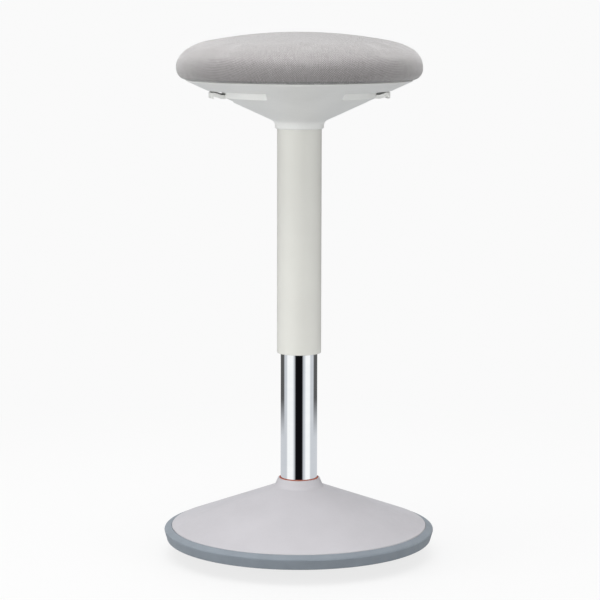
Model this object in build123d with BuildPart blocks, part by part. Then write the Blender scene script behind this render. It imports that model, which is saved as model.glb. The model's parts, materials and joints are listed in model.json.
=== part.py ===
from build123d import *
import os
from math import cos, radians, sin, sqrt, tan

# A height-adjustable stool for a standing desk, in millimetres, with +Z up.
# The origin is on the floor, in the middle of the flat on the domed sole.
# The stool faces -Y, and its two release paddles are at -X and +X.

# Overall sizes
SEAT_HEIGHT = 710.0
SEAT_DIAMETER = 330.0
BASE_DIAMETER = 369.0
TRAVEL_DOWN = 110.0
TRAVEL_UP = 140.0

# Clearances
SLIDE_GAP = 0.3
RUNNING_GAP = 0.06
SEAT_GAP = 0.2
GLUE_GAP = 0.3
TAPER_GAP = 0.1
SCREW_GAP = 0.15

# Drives in the screw heads
DRIVE_SLOT = 1.0
DRIVE_MARGIN = 1.5
DRIVE_DEPTH = 1.3

# Domed sole, pan and rim
SOLE_FLAT_DIAMETER = 100.0
DOME_RADIUS = 730.0
TREAD_THICKNESS = 3.0
TREAD_INSET = 14.5
GROOVE_WIDTH = 3.0
GROOVE_DEPTH = 1.2
GROOVE_COUNT = 5
GROOVE_PITCH = 14.0
FIRST_GROOVE_INSET = 14.0
PAN_WALL = 3.5
PAN_FLANGE_HEIGHT = 27.0
PAN_FLANGE_THICKNESS = 3.0
PAN_FLANGE_REACH = 7.5
RIM_WIDTH = 10.6
RIM_UNDERCUT = 4.0
RIM_DROP = 4.4
RIM_EDGE_STEP = 0.5
RIM_ROUND = 2.0

# Base cover
COVER_WALL = 3.0
COVER_SKIRT_HEIGHT = 10.0
COVER_SLOPE = 20.8
COLLAR_FOOT_RADIUS = 33.0
COLLAR_TOP_RADIUS = 28.2
COLLAR_HEIGHT = 11.2
COLLAR_GAP = 1.0
COLLAR_FILLET = 6.0
COVER_BOSS_DIAMETER = 10.0
PAD_MARGIN = 2.0
COVER_SCREW_INSET = 24.0
COVER_SCREW_COUNT = 6
COVER_SCREW_DIAMETER = 4.0
COVER_SCREW_LENGTH = 20.0
COVER_SCREW_HEAD = 8.0
COVER_SCREW_HEAD_HEIGHT = 2.8
GASKET_HEIGHT = 5.0
GASKET_LIP_WIDTH = 0.6
GASKET_LIP_HEIGHT = 0.8

# Ballast and column socket
BALLAST_EDGE_GAP = 2.9
BALLAST_BORE = 64.0
BALLAST_TOP = 26.0
BALLAST_SCREW_INSET = 30.0
BALLAST_SCREW_COUNT = 6
BALLAST_SCREW_DIAMETER = 5.0
BALLAST_SCREW_LENGTH = 12.0
SOCKET_WALL = 4.0
SOCKET_TOP = 86.0
SOCKET_BOTTOM = 14.0
SOCKET_FLANGE_DIAMETER = 118.0
SOCKET_FLANGE_THICKNESS = 4.0
SOCKET_BOLT_CIRCLE = 92.0
SOCKET_BOLT_COUNT = 4
SOCKET_BOLT_DIAMETER = 8.0
SOCKET_BOLT_LENGTH = 18.0
SOCKET_BOLT_HEAD = 13.0
SOCKET_BOLT_HEAD_HEIGHT = 5.3

# Gas lift
TAPER_ANGLE = 1.4333
STAND_DIAMETER = 50.0
STAND_WALL = 2.0
STAND_BOTTOM = 22.0
STAND_FLOOR = 3.0
STAND_LENGTH = 443.0
BUSH_LENGTH = 118.0
BUSH_LIP = 3.0
BUSH_LAND = 26.0
BUSH_RELIEF = 0.8
CYLINDER_DIAMETER = 28.0
CYLINDER_WALL = 2.0
CYLINDER_LIP = 2.0
CYLINDER_PROUD = 2.0
ROD_DIAMETER = 10.0
ROD_NECK_DIAMETER = 8.0
RACE_DIAMETER = 23.0
RACE_THICKNESS = 2.5
RACE_SPACING = 2.8
BALL_DIAMETER = 4.0
BALL_COUNT = 9
BALL_GAP = 0.12
BALL_CIRCLE = 15.6
CAGE_HEIGHT = 1.4
BUMP_DIAMETER = 24.0
BUMP_HEIGHT = 14.0
ROD_WASHER_DIAMETER = 20.0
ROD_WASHER_THICKNESS = 1.5
ROD_CLIP_DIAMETER = 15.0
ROD_CLIP_THICKNESS = 1.2
ROD_GROOVE_DEPTH = 1.0
ROD_END_PROUD = 3.0
PISTON_HEIGHT = 14.0
PISTON_SEAL_DIAMETER = 2.4
STOP_GAP = 1.0
ROD_GUIDE_HEIGHT = 22.0
ROD_SEAL_HEIGHT = 6.0
VALVE_BODY_HEIGHT = 38.0
VALVE_PIN_DIAMETER = 8.0
VALVE_PIN_PROUD = 6.5
VALVE_PIN_LENGTH = 31.0
VALVE_STROKE_ROOM = 4.0

# Column sleeve
SLEEVE_DIAMETER = 60.0
SLEEVE_WALL = 1.6
SLEEVE_LENGTH = 304.0
SLEEVE_FLANGE_DIAMETER = 80.0
SLEEVE_FLANGE_THICKNESS = 3.0
GLIDE_HEIGHT = 14.0
GLIDE_RECESS = 1.6

# Cushion and board
CUSHION_HEIGHT = 62.5
CUSHION_TUCK = 15.0
CROWN_RADIUS = 650.0
CROWN_ANGLE = 11.3
SHOULDER_ANGLE = 46.0
FABRIC_THICKNESS = 1.2
BOARD_THICKNESS = 12.0
BOARD_SETBACK = 2.0
HEM_WIDTH = 17.0
STAPLE_COUNT = 30
STAPLE_WIDTH = 10.0
STAPLE_WIRE = 0.8
STAPLE_LEG = 6.0

# Seat shell
SHELL_WALL = 3.0
SHELL_RIM_INSET = 13.0
SHELL_RIM_HEIGHT = 1.5
SHELL_DEPTH = 54.7
NECK_WALL = 2.6
NECK_LENGTH = 9.5
NECK_FILLET = 8.0
NECK_CHAMFER = 1.2
INNER_COLLAR_WALL = 3.5
POCKET_WALL_SETBACK = 47.5
POCKET_CEILING_DROP = 14.0
POCKET_END_OFFSET = 31.8
POCKET_END_TILT = 9.6
POCKET_CORNER = 6.0
POCKET_WALL = 3.0
SHELL_SCREW_SETBACK = 35.0
SHELL_SCREW_ANGLE = 40.0
SHELL_SCREW_DIAMETER = 3.6
SHELL_SCREW_HEAD = 7.0
SHELL_SCREW_HEAD_HEIGHT = 2.2
SHELL_SCREW_LENGTH = 20.0
SHELL_BOSS_DIAMETER = 11.0

# Seat bracket
BRACKET_DEPTH = 41.0
BRACKET_STEEL = 3.0
BRACKET_WEB_LENGTH = 76.0
BRACKET_WIDTH = 74.0
BRACKET_EAR_LENGTH = 126.0
BRACKET_EAR_DROP = 12.0
BRACKET_FLANGE_LENGTH = 84.0
BRACKET_FLANGE_REACH = 36.0
BRACKET_SCREW_X = 56.0
BRACKET_SCREW_Y = 112.0
BRACKET_SCREW_DIAMETER = 6.0
BRACKET_SCREW_HEAD = 10.0
BRACKET_SCREW_HEAD_HEIGHT = 3.6
BRACKET_SCREW_LENGTH = 14.0
TEE_NUT_FLANGE = 18.0
TEE_NUT_FLANGE_THICKNESS = 1.2
TEE_NUT_WALL = 1.0
TEE_NUT_DEPTH = 10.0
TAPER_SOCKET_WALL = 5.0
TAPER_SOCKET_LENGTH = 28.0
TAPER_SOCKET_ABOVE_WEB = 12.0

# Release paddles and cap
PIVOT_REACH = 56.0
PIVOT_DROP = 19.3
PIVOT_PIN_DIAMETER = 6.0
PIVOT_PIN_PROUD = 3.0
PIVOT_CLIP_DIAMETER = 11.0
PIVOT_CLIP_THICKNESS = 0.8
BARREL_DIAMETER = 13.0
PADDLE_WIDTH = 56.0
PADDLE_SETBACK = 30.5
PADDLE_THICKNESS = 5.0
PADDLE_LIP_DEPTH = 8.0
PADDLE_LIP_THICKNESS = 6.0
PADDLE_TOP_DROP = 2.5
PADDLE_RISE = 3.2
ARM_KNEE_RISE = 1.2
ARM_STEP = 2.0
PADDLE_SIDE_GAP = 1.5
PADDLE_ROUND = 1.2
WINDOW_SILL_GAP = 1.7
WINDOW_HEADROOM = 2.2
TIP_WIDTH = 11.0
TIP_THICKNESS = 4.6
TIP_GAP = 1.6
CAP_DIAMETER = 26.0
CAP_ROOF = 3.0
CAP_FLOOR = 2.0
CAP_PLAY = 0.5
CAP_SOCKET_DEPTH = 3.0

# Heights and radii that follow from the sizes above
BASE_RADIUS = BASE_DIAMETER / 2
COVER_RADIUS = BASE_RADIUS - RIM_WIDTH
TREAD_RADIUS = BASE_RADIUS - TREAD_INSET
DOME_CENTRE = sqrt(DOME_RADIUS**2 - (SOLE_FLAT_DIAMETER / 2) ** 2)
FLANGE_TOP = PAN_FLANGE_HEIGHT + PAN_FLANGE_THICKNESS
COVER_EDGE = FLANGE_TOP + COVER_SKIRT_HEIGHT
COVER_RISE = tan(radians(COVER_SLOPE))
COLLAR_FOOT = COVER_EDGE + (COVER_RADIUS - COLLAR_FOOT_RADIUS) * COVER_RISE
COLLAR_TOP = COLLAR_FOOT + COLLAR_HEIGHT
COVER_SCREW_RADIUS = COVER_RADIUS - COVER_SCREW_INSET
STAND_RADIUS = STAND_DIAMETER / 2
STAND_TOP = STAND_BOTTOM + STAND_LENGTH
TAPER_RISE = tan(radians(TAPER_ANGLE))
STAND_FLOOR_TOP = STAND_BOTTOM + STAND_FLOOR
BALL_HEIGHT = STAND_FLOOR_TOP + RACE_THICKNESS + RACE_SPACING / 2
UPPER_RACE = BALL_HEIGHT + RACE_SPACING / 2
ROD_SHOULDER = UPPER_RACE + RACE_THICKNESS
BUMP_TOP = ROD_SHOULDER + BUMP_HEIGHT
CYLINDER_BOTTOM = BUMP_TOP + STOP_GAP + TRAVEL_DOWN
CYLINDER_RADIUS = CYLINDER_DIAMETER / 2
CYLINDER_BORE = CYLINDER_RADIUS - CYLINDER_WALL
GUIDE_TOP = CYLINDER_BOTTOM + CYLINDER_LIP + SEAT_GAP + ROD_GUIDE_HEIGHT
PISTON_BOTTOM = GUIDE_TOP + TRAVEL_UP + STOP_GAP
PISTON_TOP = PISTON_BOTTOM + PISTON_HEIGHT
ROD_TOP = PISTON_TOP + ROD_END_PROUD
SEAT_RADIUS = SEAT_DIAMETER / 2
CUSHION_BOTTOM = SEAT_HEIGHT - CUSHION_HEIGHT
BOARD_BOTTOM = CUSHION_BOTTOM + FABRIC_THICKNESS + SEAT_GAP
BOARD_TOP = BOARD_BOTTOM + BOARD_THICKNESS
BOARD_RADIUS = SEAT_RADIUS - CUSHION_TUCK - BOARD_SETBACK
HEM_RADIUS = BOARD_RADIUS - HEM_WIDTH
RIM_TOP = CUSHION_BOTTOM - SEAT_GAP
SHELL_RADIUS = SEAT_RADIUS - SHELL_RIM_INSET
CONE_TOP = RIM_TOP - SHELL_RIM_HEIGHT
SLEEVE_RADIUS = SLEEVE_DIAMETER / 2
SLEEVE_BORE = SLEEVE_RADIUS - SLEEVE_WALL
NECK_BORE = SLEEVE_RADIUS + SLIDE_GAP
NECK_RADIUS = NECK_BORE + NECK_WALL
NECK_TOP = CONE_TOP - SHELL_DEPTH
SHELL_RISE = SHELL_DEPTH / (SHELL_RADIUS - NECK_RADIUS)
CONE_WALL = SHELL_WALL * sqrt(1 + SHELL_RISE**2)
NECK_BOTTOM = NECK_TOP - NECK_LENGTH
SLEEVE_BOTTOM = NECK_BOTTOM - SLEEVE_LENGTH
WEB_BOTTOM = BOARD_BOTTOM - BRACKET_DEPTH
WEB_TOP = WEB_BOTTOM + BRACKET_STEEL
SLEEVE_TOP = WEB_BOTTOM - SEAT_GAP
SLEEVE_FLANGE_BOTTOM = SLEEVE_TOP - SLEEVE_FLANGE_THICKNESS
INNER_COLLAR_TOP = SLEEVE_FLANGE_BOTTOM - SEAT_GAP
TAPER_SOCKET_TOP = WEB_TOP + TAPER_SOCKET_ABOVE_WEB
TAPER_SOCKET_BOTTOM = TAPER_SOCKET_TOP - TAPER_SOCKET_LENGTH
CYLINDER_TOP = TAPER_SOCKET_TOP + CYLINDER_PROUD
VALVE_PIN_TOP = CYLINDER_TOP + VALVE_PIN_PROUD
VALVE_PIN_BOTTOM = VALVE_PIN_TOP - VALVE_PIN_LENGTH
VALVE_BODY_TOP = CYLINDER_TOP - CYLINDER_LIP - SEAT_GAP
VALVE_BODY_BOTTOM = VALVE_BODY_TOP - VALVE_BODY_HEIGHT
POCKET_CEILING = RIM_TOP - POCKET_CEILING_DROP
POCKET_WALL_RADIUS = SHELL_RADIUS - POCKET_WALL_SETBACK
PIVOT_HEIGHT = RIM_TOP - PIVOT_DROP
CAP_BOTTOM = VALVE_PIN_TOP - CAP_SOCKET_DEPTH
TIP_BOTTOM = VALVE_PIN_TOP + CAP_FLOOR + CAP_PLAY
TIP_TOP = TIP_BOTTOM + TIP_THICKNESS
CAP_TOP = TIP_TOP + CAP_PLAY + CAP_ROOF
PADDLE_TOP = POCKET_CEILING - PADDLE_TOP_DROP
PADDLE_REACH = SHELL_RADIUS - PADDLE_SETBACK

os.makedirs("parts", exist_ok=True)


def save(builder, name):
    """Label a finished piece and write it out."""
    builder.part.label = name
    export_step(builder.part, f"parts/{name}.step")


def turned(points, rounds=(), mode=Mode.ADD):
    """Solid of revolution from (radius, height) points, with rounded corners."""
    with BuildSketch(Plane.XZ) as face:
        with BuildLine():
            Polyline(*points, close=True)
        make_face()
        for index, radius in rounds:
            fillet(face.vertices().sort_by_distance(points[index])[0], radius)
    revolve(face.sketch, axis=Axis.Z, mode=mode)


def dome(radius, inset=0.0):
    """Height of the domed sole at a radius, or of the surface that lies inset above it."""
    return DOME_CENTRE - sqrt((DOME_RADIUS - inset) ** 2 - radius**2)


def cone(radius):
    """Height of the outside of the seat shell's cone at a radius."""
    return CONE_TOP - (SHELL_RADIUS - radius) * SHELL_RISE


def cover_cone(radius):
    """Height of the outside of the base cover's cone at a radius."""
    return COVER_EDGE + (COVER_RADIUS - radius) * COVER_RISE


def stand_radius(height):
    """Outside radius of the stand tube, which tapers inside its socket."""
    return STAND_RADIUS - max(0.0, SOCKET_TOP - height) * TAPER_RISE


def upright(radius, bottom, top, mode=Mode.ADD):
    """Round bar, or round hole, on the current locations between two heights."""
    with Locations((0, 0, bottom)):
        Cylinder(radius, top - bottom, align=(Align.CENTER, Align.CENTER, Align.MIN), mode=mode)


def slab(length, width, bottom, top, mode=Mode.ADD):
    """Rectangular block, or opening, on the current locations between two heights."""
    with Locations((0, 0, bottom)):
        Box(length, width, top - bottom, align=(Align.CENTER, Align.CENTER, Align.MIN), mode=mode)


def dome_arc(start, end, inset):
    """Arc along the domed sole, or along the surface that lies inset above it."""
    middle = (start + end) / 2
    ThreePointArc(
        (start, dome(start, inset)),
        (middle, dome(middle, inset)),
        (end, dome(end, inset)),
    )


# Tread of the sole: a thin dome with a flat in its middle and round grooves
FLAT_RADIUS = SOLE_FLAT_DIAMETER / 2
SCREW_POCKET = COVER_SCREW_HEAD / 2 + 0.5
with BuildPart() as sole_tread:
    with BuildSketch(Plane.XZ):
        with BuildLine():
            Line((0, 0), (FLAT_RADIUS, 0))
            dome_arc(FLAT_RADIUS, TREAD_RADIUS, 0.0)
            Line((TREAD_RADIUS, dome(TREAD_RADIUS)), (TREAD_RADIUS, dome(TREAD_RADIUS, TREAD_THICKNESS)))
            dome_arc(TREAD_RADIUS, 0, TREAD_THICKNESS)
            Line((0, dome(0, TREAD_THICKNESS)), (0, 0))
        make_face()
    revolve(axis=Axis.Z)
    for groove in range(GROOVE_COUNT):
        inner = FLAT_RADIUS + FIRST_GROOVE_INSET + groove * GROOVE_PITCH
        outer = inner + GROOVE_WIDTH
        floor = dome(inner) + GROOVE_DEPTH
        turned(((inner, -1), (outer, -1), (outer, floor), (inner, floor)), mode=Mode.SUBTRACT)
    with PolarLocations(COVER_SCREW_RADIUS, COVER_SCREW_COUNT):
        upright(SCREW_POCKET, 0, BALLAST_TOP, mode=Mode.SUBTRACT)
save(sole_tread, "sole_tread")

# Pan that the tread is bonded to, with a flange that carries the rim and the cover
PAN_OUTSIDE = TREAD_THICKNESS + GLUE_GAP
PAN_INSIDE = PAN_OUTSIDE + PAN_WALL
PAN_RADIUS = TREAD_RADIUS
PAN_BORE = PAN_RADIUS - PAN_WALL
PAD_RADIUS = COVER_BOSS_DIAMETER / 2 + PAD_MARGIN
PAD_BOTTOM = dome(COVER_SCREW_RADIUS + PAD_RADIUS, PAN_OUTSIDE) + 0.3
PAD_TOP = dome(COVER_SCREW_RADIUS + PAD_RADIUS, PAN_INSIDE) + 0.5
HEAD_SEAT = PAD_TOP - PAN_WALL
BALLAST_RADIUS = COVER_SCREW_RADIUS - PAD_RADIUS - BALLAST_EDGE_GAP
BALLAST_SCREW_RADIUS = BALLAST_RADIUS - BALLAST_SCREW_INSET
BALLAST_HEAD_RADIUS = BALLAST_SCREW_DIAMETER
BALLAST_HEAD_HEIGHT = BALLAST_HEAD_RADIUS - BALLAST_SCREW_DIAMETER / 2
BALLAST_HEAD_BOTTOM = dome(BALLAST_SCREW_RADIUS + BALLAST_HEAD_RADIUS, PAN_OUTSIDE) + 0.2
with BuildPart() as base_pan:
    with BuildSketch(Plane.XZ):
        with BuildLine():
            dome_arc(0, PAN_RADIUS, PAN_OUTSIDE)
            Polyline(
                (PAN_RADIUS, dome(PAN_RADIUS, PAN_OUTSIDE)),
                (PAN_RADIUS, PAN_FLANGE_HEIGHT),
                (PAN_RADIUS + PAN_FLANGE_REACH, PAN_FLANGE_HEIGHT),
                (PAN_RADIUS + PAN_FLANGE_REACH, FLANGE_TOP),
                (PAN_BORE, FLANGE_TOP),
                (PAN_BORE, dome(PAN_BORE, PAN_INSIDE)),
            )
            dome_arc(PAN_BORE, 0, PAN_INSIDE)
            Line((0, dome(0, PAN_INSIDE)), (0, dome(0, PAN_OUTSIDE)))
        make_face()
    revolve(axis=Axis.Z)
    with PolarLocations(COVER_SCREW_RADIUS, COVER_SCREW_COUNT):
        upright(PAD_RADIUS, PAD_BOTTOM, PAD_TOP)
        upright(COVER_SCREW_DIAMETER / 2 + SCREW_GAP, 0, PAD_TOP, mode=Mode.SUBTRACT)
        upright(SCREW_POCKET, 0, HEAD_SEAT, mode=Mode.SUBTRACT)
    with PolarLocations(BALLAST_SCREW_RADIUS, BALLAST_SCREW_COUNT, start_angle=30):
        upright(BALLAST_SCREW_DIAMETER / 2 + SCREW_GAP, 0, BALLAST_TOP, mode=Mode.SUBTRACT)
        upright(BALLAST_HEAD_RADIUS + SCREW_GAP, 0, BALLAST_HEAD_BOTTOM, mode=Mode.SUBTRACT)
        with Locations((0, 0, BALLAST_HEAD_BOTTOM)):
            Cone(
                BALLAST_HEAD_RADIUS + SCREW_GAP,
                BALLAST_SCREW_DIAMETER / 2 + SCREW_GAP,
                BALLAST_HEAD_HEIGHT,
                align=(Align.CENTER, Align.CENTER, Align.MIN),
                mode=Mode.SUBTRACT,
            )
save(base_pan, "base_pan")

# Soft rim, which grips the flange of the pan in a groove
RIM_INSIDE = PAN_RADIUS + SLIDE_GAP
RIM_LIP_INSIDE = COVER_RADIUS + SLIDE_GAP
RIM_GROOVE = PAN_RADIUS + PAN_FLANGE_REACH + SLIDE_GAP
RIM_LIP_TOP = COVER_EDGE - RIM_EDGE_STEP
RIM_FOOT_RADIUS = BASE_RADIUS - RIM_UNDERCUT
with BuildPart() as rim_bumper:
    turned(
        (
            (RIM_INSIDE, dome(RIM_INSIDE)),
            (RIM_FOOT_RADIUS, dome(RIM_FOOT_RADIUS)),
            (BASE_RADIUS, RIM_LIP_TOP - RIM_DROP),
            (RIM_LIP_INSIDE, RIM_LIP_TOP),
            (RIM_LIP_INSIDE, FLANGE_TOP + SLIDE_GAP),
            (RIM_GROOVE, FLANGE_TOP + SLIDE_GAP),
            (RIM_GROOVE, PAN_FLANGE_HEIGHT - SLIDE_GAP),
            (RIM_INSIDE, PAN_FLANGE_HEIGHT - SLIDE_GAP),
        ),
        rounds=((1, RIM_ROUND), (2, RIM_ROUND), (3, 0.6)),
    )
save(rim_bumper, "rim_bumper")

# Cast ballast ring, resting on the inside of the pan
BALLAST_INSET = PAN_INSIDE + GLUE_GAP
BALLAST_HOLE = BALLAST_BORE / 2
SOCKET_BOLT_RADIUS = SOCKET_BOLT_CIRCLE / 2
SOCKET_FLANGE_TOP = BALLAST_TOP + SOCKET_FLANGE_THICKNESS
SOCKET_BOLT_END = SOCKET_FLANGE_TOP - SOCKET_BOLT_LENGTH
with BuildPart() as ballast_plate:
    with BuildSketch(Plane.XZ) as ballast_face:
        with BuildLine():
            dome_arc(BALLAST_HOLE, BALLAST_RADIUS, BALLAST_INSET)
            Polyline(
                (BALLAST_RADIUS, dome(BALLAST_RADIUS, BALLAST_INSET)),
                (BALLAST_RADIUS, BALLAST_TOP),
                (BALLAST_HOLE, BALLAST_TOP),
                (BALLAST_HOLE, dome(BALLAST_HOLE, BALLAST_INSET)),
            )
        make_face()
        fillet(ballast_face.vertices().sort_by_distance((BALLAST_RADIUS, BALLAST_TOP))[0], 2.0)
    revolve(axis=Axis.Z)
    with PolarLocations(SOCKET_BOLT_RADIUS, SOCKET_BOLT_COUNT, start_angle=45):
        upright(SOCKET_BOLT_DIAMETER / 2 + SCREW_GAP, SOCKET_BOLT_END - 1, BALLAST_TOP, mode=Mode.SUBTRACT)
    with PolarLocations(BALLAST_SCREW_RADIUS, BALLAST_SCREW_COUNT, start_angle=30):
        upright(
            BALLAST_SCREW_DIAMETER / 2 + SCREW_GAP,
            0,
            BALLAST_HEAD_BOTTOM + BALLAST_SCREW_LENGTH + 1,
            mode=Mode.SUBTRACT,
        )
        with Locations((0, 0, BALLAST_HEAD_BOTTOM)):
            Cone(
                BALLAST_HEAD_RADIUS + SCREW_GAP,
                BALLAST_SCREW_DIAMETER / 2 + SCREW_GAP,
                BALLAST_HEAD_HEIGHT,
                align=(Align.CENTER, Align.CENTER, Align.MIN),
                mode=Mode.SUBTRACT,
            )
save(ballast_plate, "ballast_plate")

# Countersunk screws that hold the ballast to the pan
with BuildPart() as ballast_screws:
    with PolarLocations(BALLAST_SCREW_RADIUS, BALLAST_SCREW_COUNT, start_angle=30):
        upright(BALLAST_SCREW_DIAMETER / 2, BALLAST_HEAD_BOTTOM, BALLAST_HEAD_BOTTOM + BALLAST_SCREW_LENGTH)
        with Locations((0, 0, BALLAST_HEAD_BOTTOM)):
            Cone(
                BALLAST_HEAD_RADIUS,
                BALLAST_SCREW_DIAMETER / 2,
                BALLAST_HEAD_HEIGHT,
                align=(Align.CENTER, Align.CENTER, Align.MIN),
            )
            with BuildSketch(Plane.XY.offset(BALLAST_HEAD_BOTTOM)) as ballast_drive:
                with PolarLocations(BALLAST_SCREW_RADIUS, BALLAST_SCREW_COUNT, start_angle=30):
                    RegularPolygon(BALLAST_SCREW_DIAMETER * 0.35, 6)
    extrude(ballast_drive.sketch, amount=DRIVE_DEPTH, mode=Mode.SUBTRACT)
save(ballast_screws, "ballast_screws")

# Socket for the taper of the stand tube, with its flange on the ballast
SOCKET_RADIUS = STAND_RADIUS + SOCKET_WALL
with BuildPart() as column_socket:
    turned(
        (
            (stand_radius(SOCKET_BOTTOM) + TAPER_GAP, SOCKET_BOTTOM),
            (SOCKET_RADIUS, SOCKET_BOTTOM),
            (SOCKET_RADIUS, BALLAST_TOP),
            (SOCKET_FLANGE_DIAMETER / 2, BALLAST_TOP),
            (SOCKET_FLANGE_DIAMETER / 2, SOCKET_FLANGE_TOP),
            (SOCKET_RADIUS, SOCKET_FLANGE_TOP),
            (SOCKET_RADIUS, SOCKET_TOP),
            (STAND_RADIUS + TAPER_GAP, SOCKET_TOP),
        ),
        rounds=((5, 3.0), (6, 0.8)),
    )
    with PolarLocations(SOCKET_BOLT_RADIUS, SOCKET_BOLT_COUNT, start_angle=45):
        upright(SOCKET_BOLT_DIAMETER / 2 + SCREW_GAP, BALLAST_TOP, SOCKET_FLANGE_TOP, mode=Mode.SUBTRACT)
save(column_socket, "column_socket")

# Hexagon bolts through the flange into the ballast
with BuildPart() as socket_bolts:
    with PolarLocations(SOCKET_BOLT_RADIUS, SOCKET_BOLT_COUNT, start_angle=45):
        upright(SOCKET_BOLT_DIAMETER / 2, SOCKET_BOLT_END, SOCKET_FLANGE_TOP)
    with BuildSketch(Plane.XY.offset(SOCKET_FLANGE_TOP)):
        with PolarLocations(SOCKET_BOLT_RADIUS, SOCKET_BOLT_COUNT, start_angle=45):
            RegularPolygon(SOCKET_BOLT_HEAD / 2, 6, major_radius=False)
    extrude(amount=SOCKET_BOLT_HEAD_HEIGHT)
save(socket_bolts, "socket_bolts")

# Conical base cover with its collar, and bosses for the screws from below
BOSS_BOTTOM = PAD_TOP + SEAT_GAP
COVER_BORE = STAND_RADIUS + COLLAR_GAP
COVER_INSIDE = COVER_RADIUS - COVER_WALL
COVER_WALL_HEIGHT = COVER_WALL / cos(radians(COVER_SLOPE))
with BuildPart() as cover_cavity:
    turned(
        (
            (0, BOSS_BOTTOM),
            (COVER_INSIDE, BOSS_BOTTOM),
            (COVER_INSIDE, cover_cone(COVER_INSIDE) - COVER_WALL_HEIGHT),
            (COVER_BORE, cover_cone(COVER_BORE) - COVER_WALL_HEIGHT),
            (0, cover_cone(COVER_BORE) - COVER_WALL_HEIGHT),
        )
    )
    with PolarLocations(COVER_SCREW_RADIUS, COVER_SCREW_COUNT):
        upright(COVER_BOSS_DIAMETER / 2, 0, COLLAR_TOP, mode=Mode.SUBTRACT)
with BuildPart() as base_cover:
    turned(
        (
            (0, BOSS_BOTTOM),
            (COVER_INSIDE, BOSS_BOTTOM),
            (COVER_INSIDE, FLANGE_TOP),
            (COVER_RADIUS, FLANGE_TOP),
            (COVER_RADIUS, COVER_EDGE),
            (COLLAR_FOOT_RADIUS, COLLAR_FOOT),
            (COLLAR_TOP_RADIUS, COLLAR_TOP),
            (0, COLLAR_TOP),
        ),
        rounds=((4, 1.2), (5, COLLAR_FILLET), (6, 0.9)),
    )
    add(cover_cavity.part, mode=Mode.SUBTRACT)
    upright(COVER_BORE, BOSS_BOTTOM, COLLAR_TOP, mode=Mode.SUBTRACT)
    with PolarLocations(COVER_SCREW_RADIUS, COVER_SCREW_COUNT):
        upright(
            COVER_SCREW_DIAMETER / 2 + SCREW_GAP,
            BOSS_BOTTOM,
            HEAD_SEAT + COVER_SCREW_LENGTH + 1,
            mode=Mode.SUBTRACT,
        )
save(base_cover, "base_cover")

# Screws from below that hold the cover to the pan
with BuildPart() as cover_screws:
    with PolarLocations(COVER_SCREW_RADIUS, COVER_SCREW_COUNT):
        upright(COVER_SCREW_DIAMETER / 2, HEAD_SEAT, HEAD_SEAT + COVER_SCREW_LENGTH)
        upright(COVER_SCREW_HEAD / 2, HEAD_SEAT - COVER_SCREW_HEAD_HEIGHT, HEAD_SEAT)
    with BuildSketch(Plane.XY.offset(HEAD_SEAT - COVER_SCREW_HEAD_HEIGHT)):
        with PolarLocations(COVER_SCREW_RADIUS, COVER_SCREW_COUNT):
            Rectangle(COVER_SCREW_HEAD - 2 * DRIVE_MARGIN, DRIVE_SLOT)
            Rectangle(DRIVE_SLOT, COVER_SCREW_HEAD - 2 * DRIVE_MARGIN)
    extrude(amount=DRIVE_DEPTH, mode=Mode.SUBTRACT)
save(cover_screws, "cover_screws")

# Seal between the collar and the stand tube, with a lip that rests on the collar
GASKET_TOP = COLLAR_TOP + GASKET_LIP_HEIGHT
with BuildPart() as collar_gasket:
    turned(
        (
            (STAND_RADIUS + TAPER_GAP, COLLAR_TOP - GASKET_HEIGHT),
            (COVER_BORE - TAPER_GAP, COLLAR_TOP - GASKET_HEIGHT),
            (COVER_BORE - TAPER_GAP, COLLAR_TOP),
            (COVER_BORE + GASKET_LIP_WIDTH, COLLAR_TOP),
            (COVER_BORE + GASKET_LIP_WIDTH, GASKET_TOP),
            (STAND_RADIUS + TAPER_GAP, GASKET_TOP),
        ),
        rounds=((4, 0.4),),
    )
save(collar_gasket, "collar_gasket")

# Stand tube of the gas lift, with its tapered foot and floor
STAND_BORE = STAND_RADIUS - STAND_WALL
ROD_RADIUS = ROD_DIAMETER / 2
ROD_NECK = ROD_NECK_DIAMETER / 2
with BuildPart() as stand_tube:
    turned(
        (
            (ROD_NECK + SLIDE_GAP, STAND_BOTTOM),
            (stand_radius(STAND_BOTTOM), STAND_BOTTOM),
            (STAND_RADIUS, SOCKET_TOP),
            (STAND_RADIUS, STAND_TOP),
            (STAND_BORE, STAND_TOP),
            (STAND_BORE, SOCKET_TOP),
            (stand_radius(STAND_FLOOR_TOP) - STAND_WALL, STAND_FLOOR_TOP),
            (ROD_NECK + SLIDE_GAP, STAND_FLOOR_TOP),
        ),
        rounds=((1, 1.5), (3, 0.6)),
    )
save(stand_tube, "stand_tube")

# Guide bush in the top of the stand tube
BUSH_BORE = CYLINDER_RADIUS + SLIDE_GAP
BUSH_BOTTOM = STAND_TOP - BUSH_LENGTH
with BuildPart() as guide_bush:
    turned(
        (
            (BUSH_BORE, BUSH_BOTTOM),
            (STAND_BORE - TAPER_GAP, BUSH_BOTTOM),
            (STAND_BORE - TAPER_GAP, STAND_TOP),
            (STAND_RADIUS - 0.6, STAND_TOP),
            (STAND_RADIUS - 0.6, STAND_TOP + BUSH_LIP),
            (BUSH_BORE, STAND_TOP + BUSH_LIP),
            (BUSH_BORE, STAND_TOP - BUSH_LAND),
            (BUSH_BORE + BUSH_RELIEF, STAND_TOP - BUSH_LAND),
            (BUSH_BORE + BUSH_RELIEF, BUSH_BOTTOM + BUSH_LAND),
            (BUSH_BORE, BUSH_BOTTOM + BUSH_LAND),
        ),
        rounds=((4, 1.0),),
    )
save(guide_bush, "guide_bush")

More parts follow.
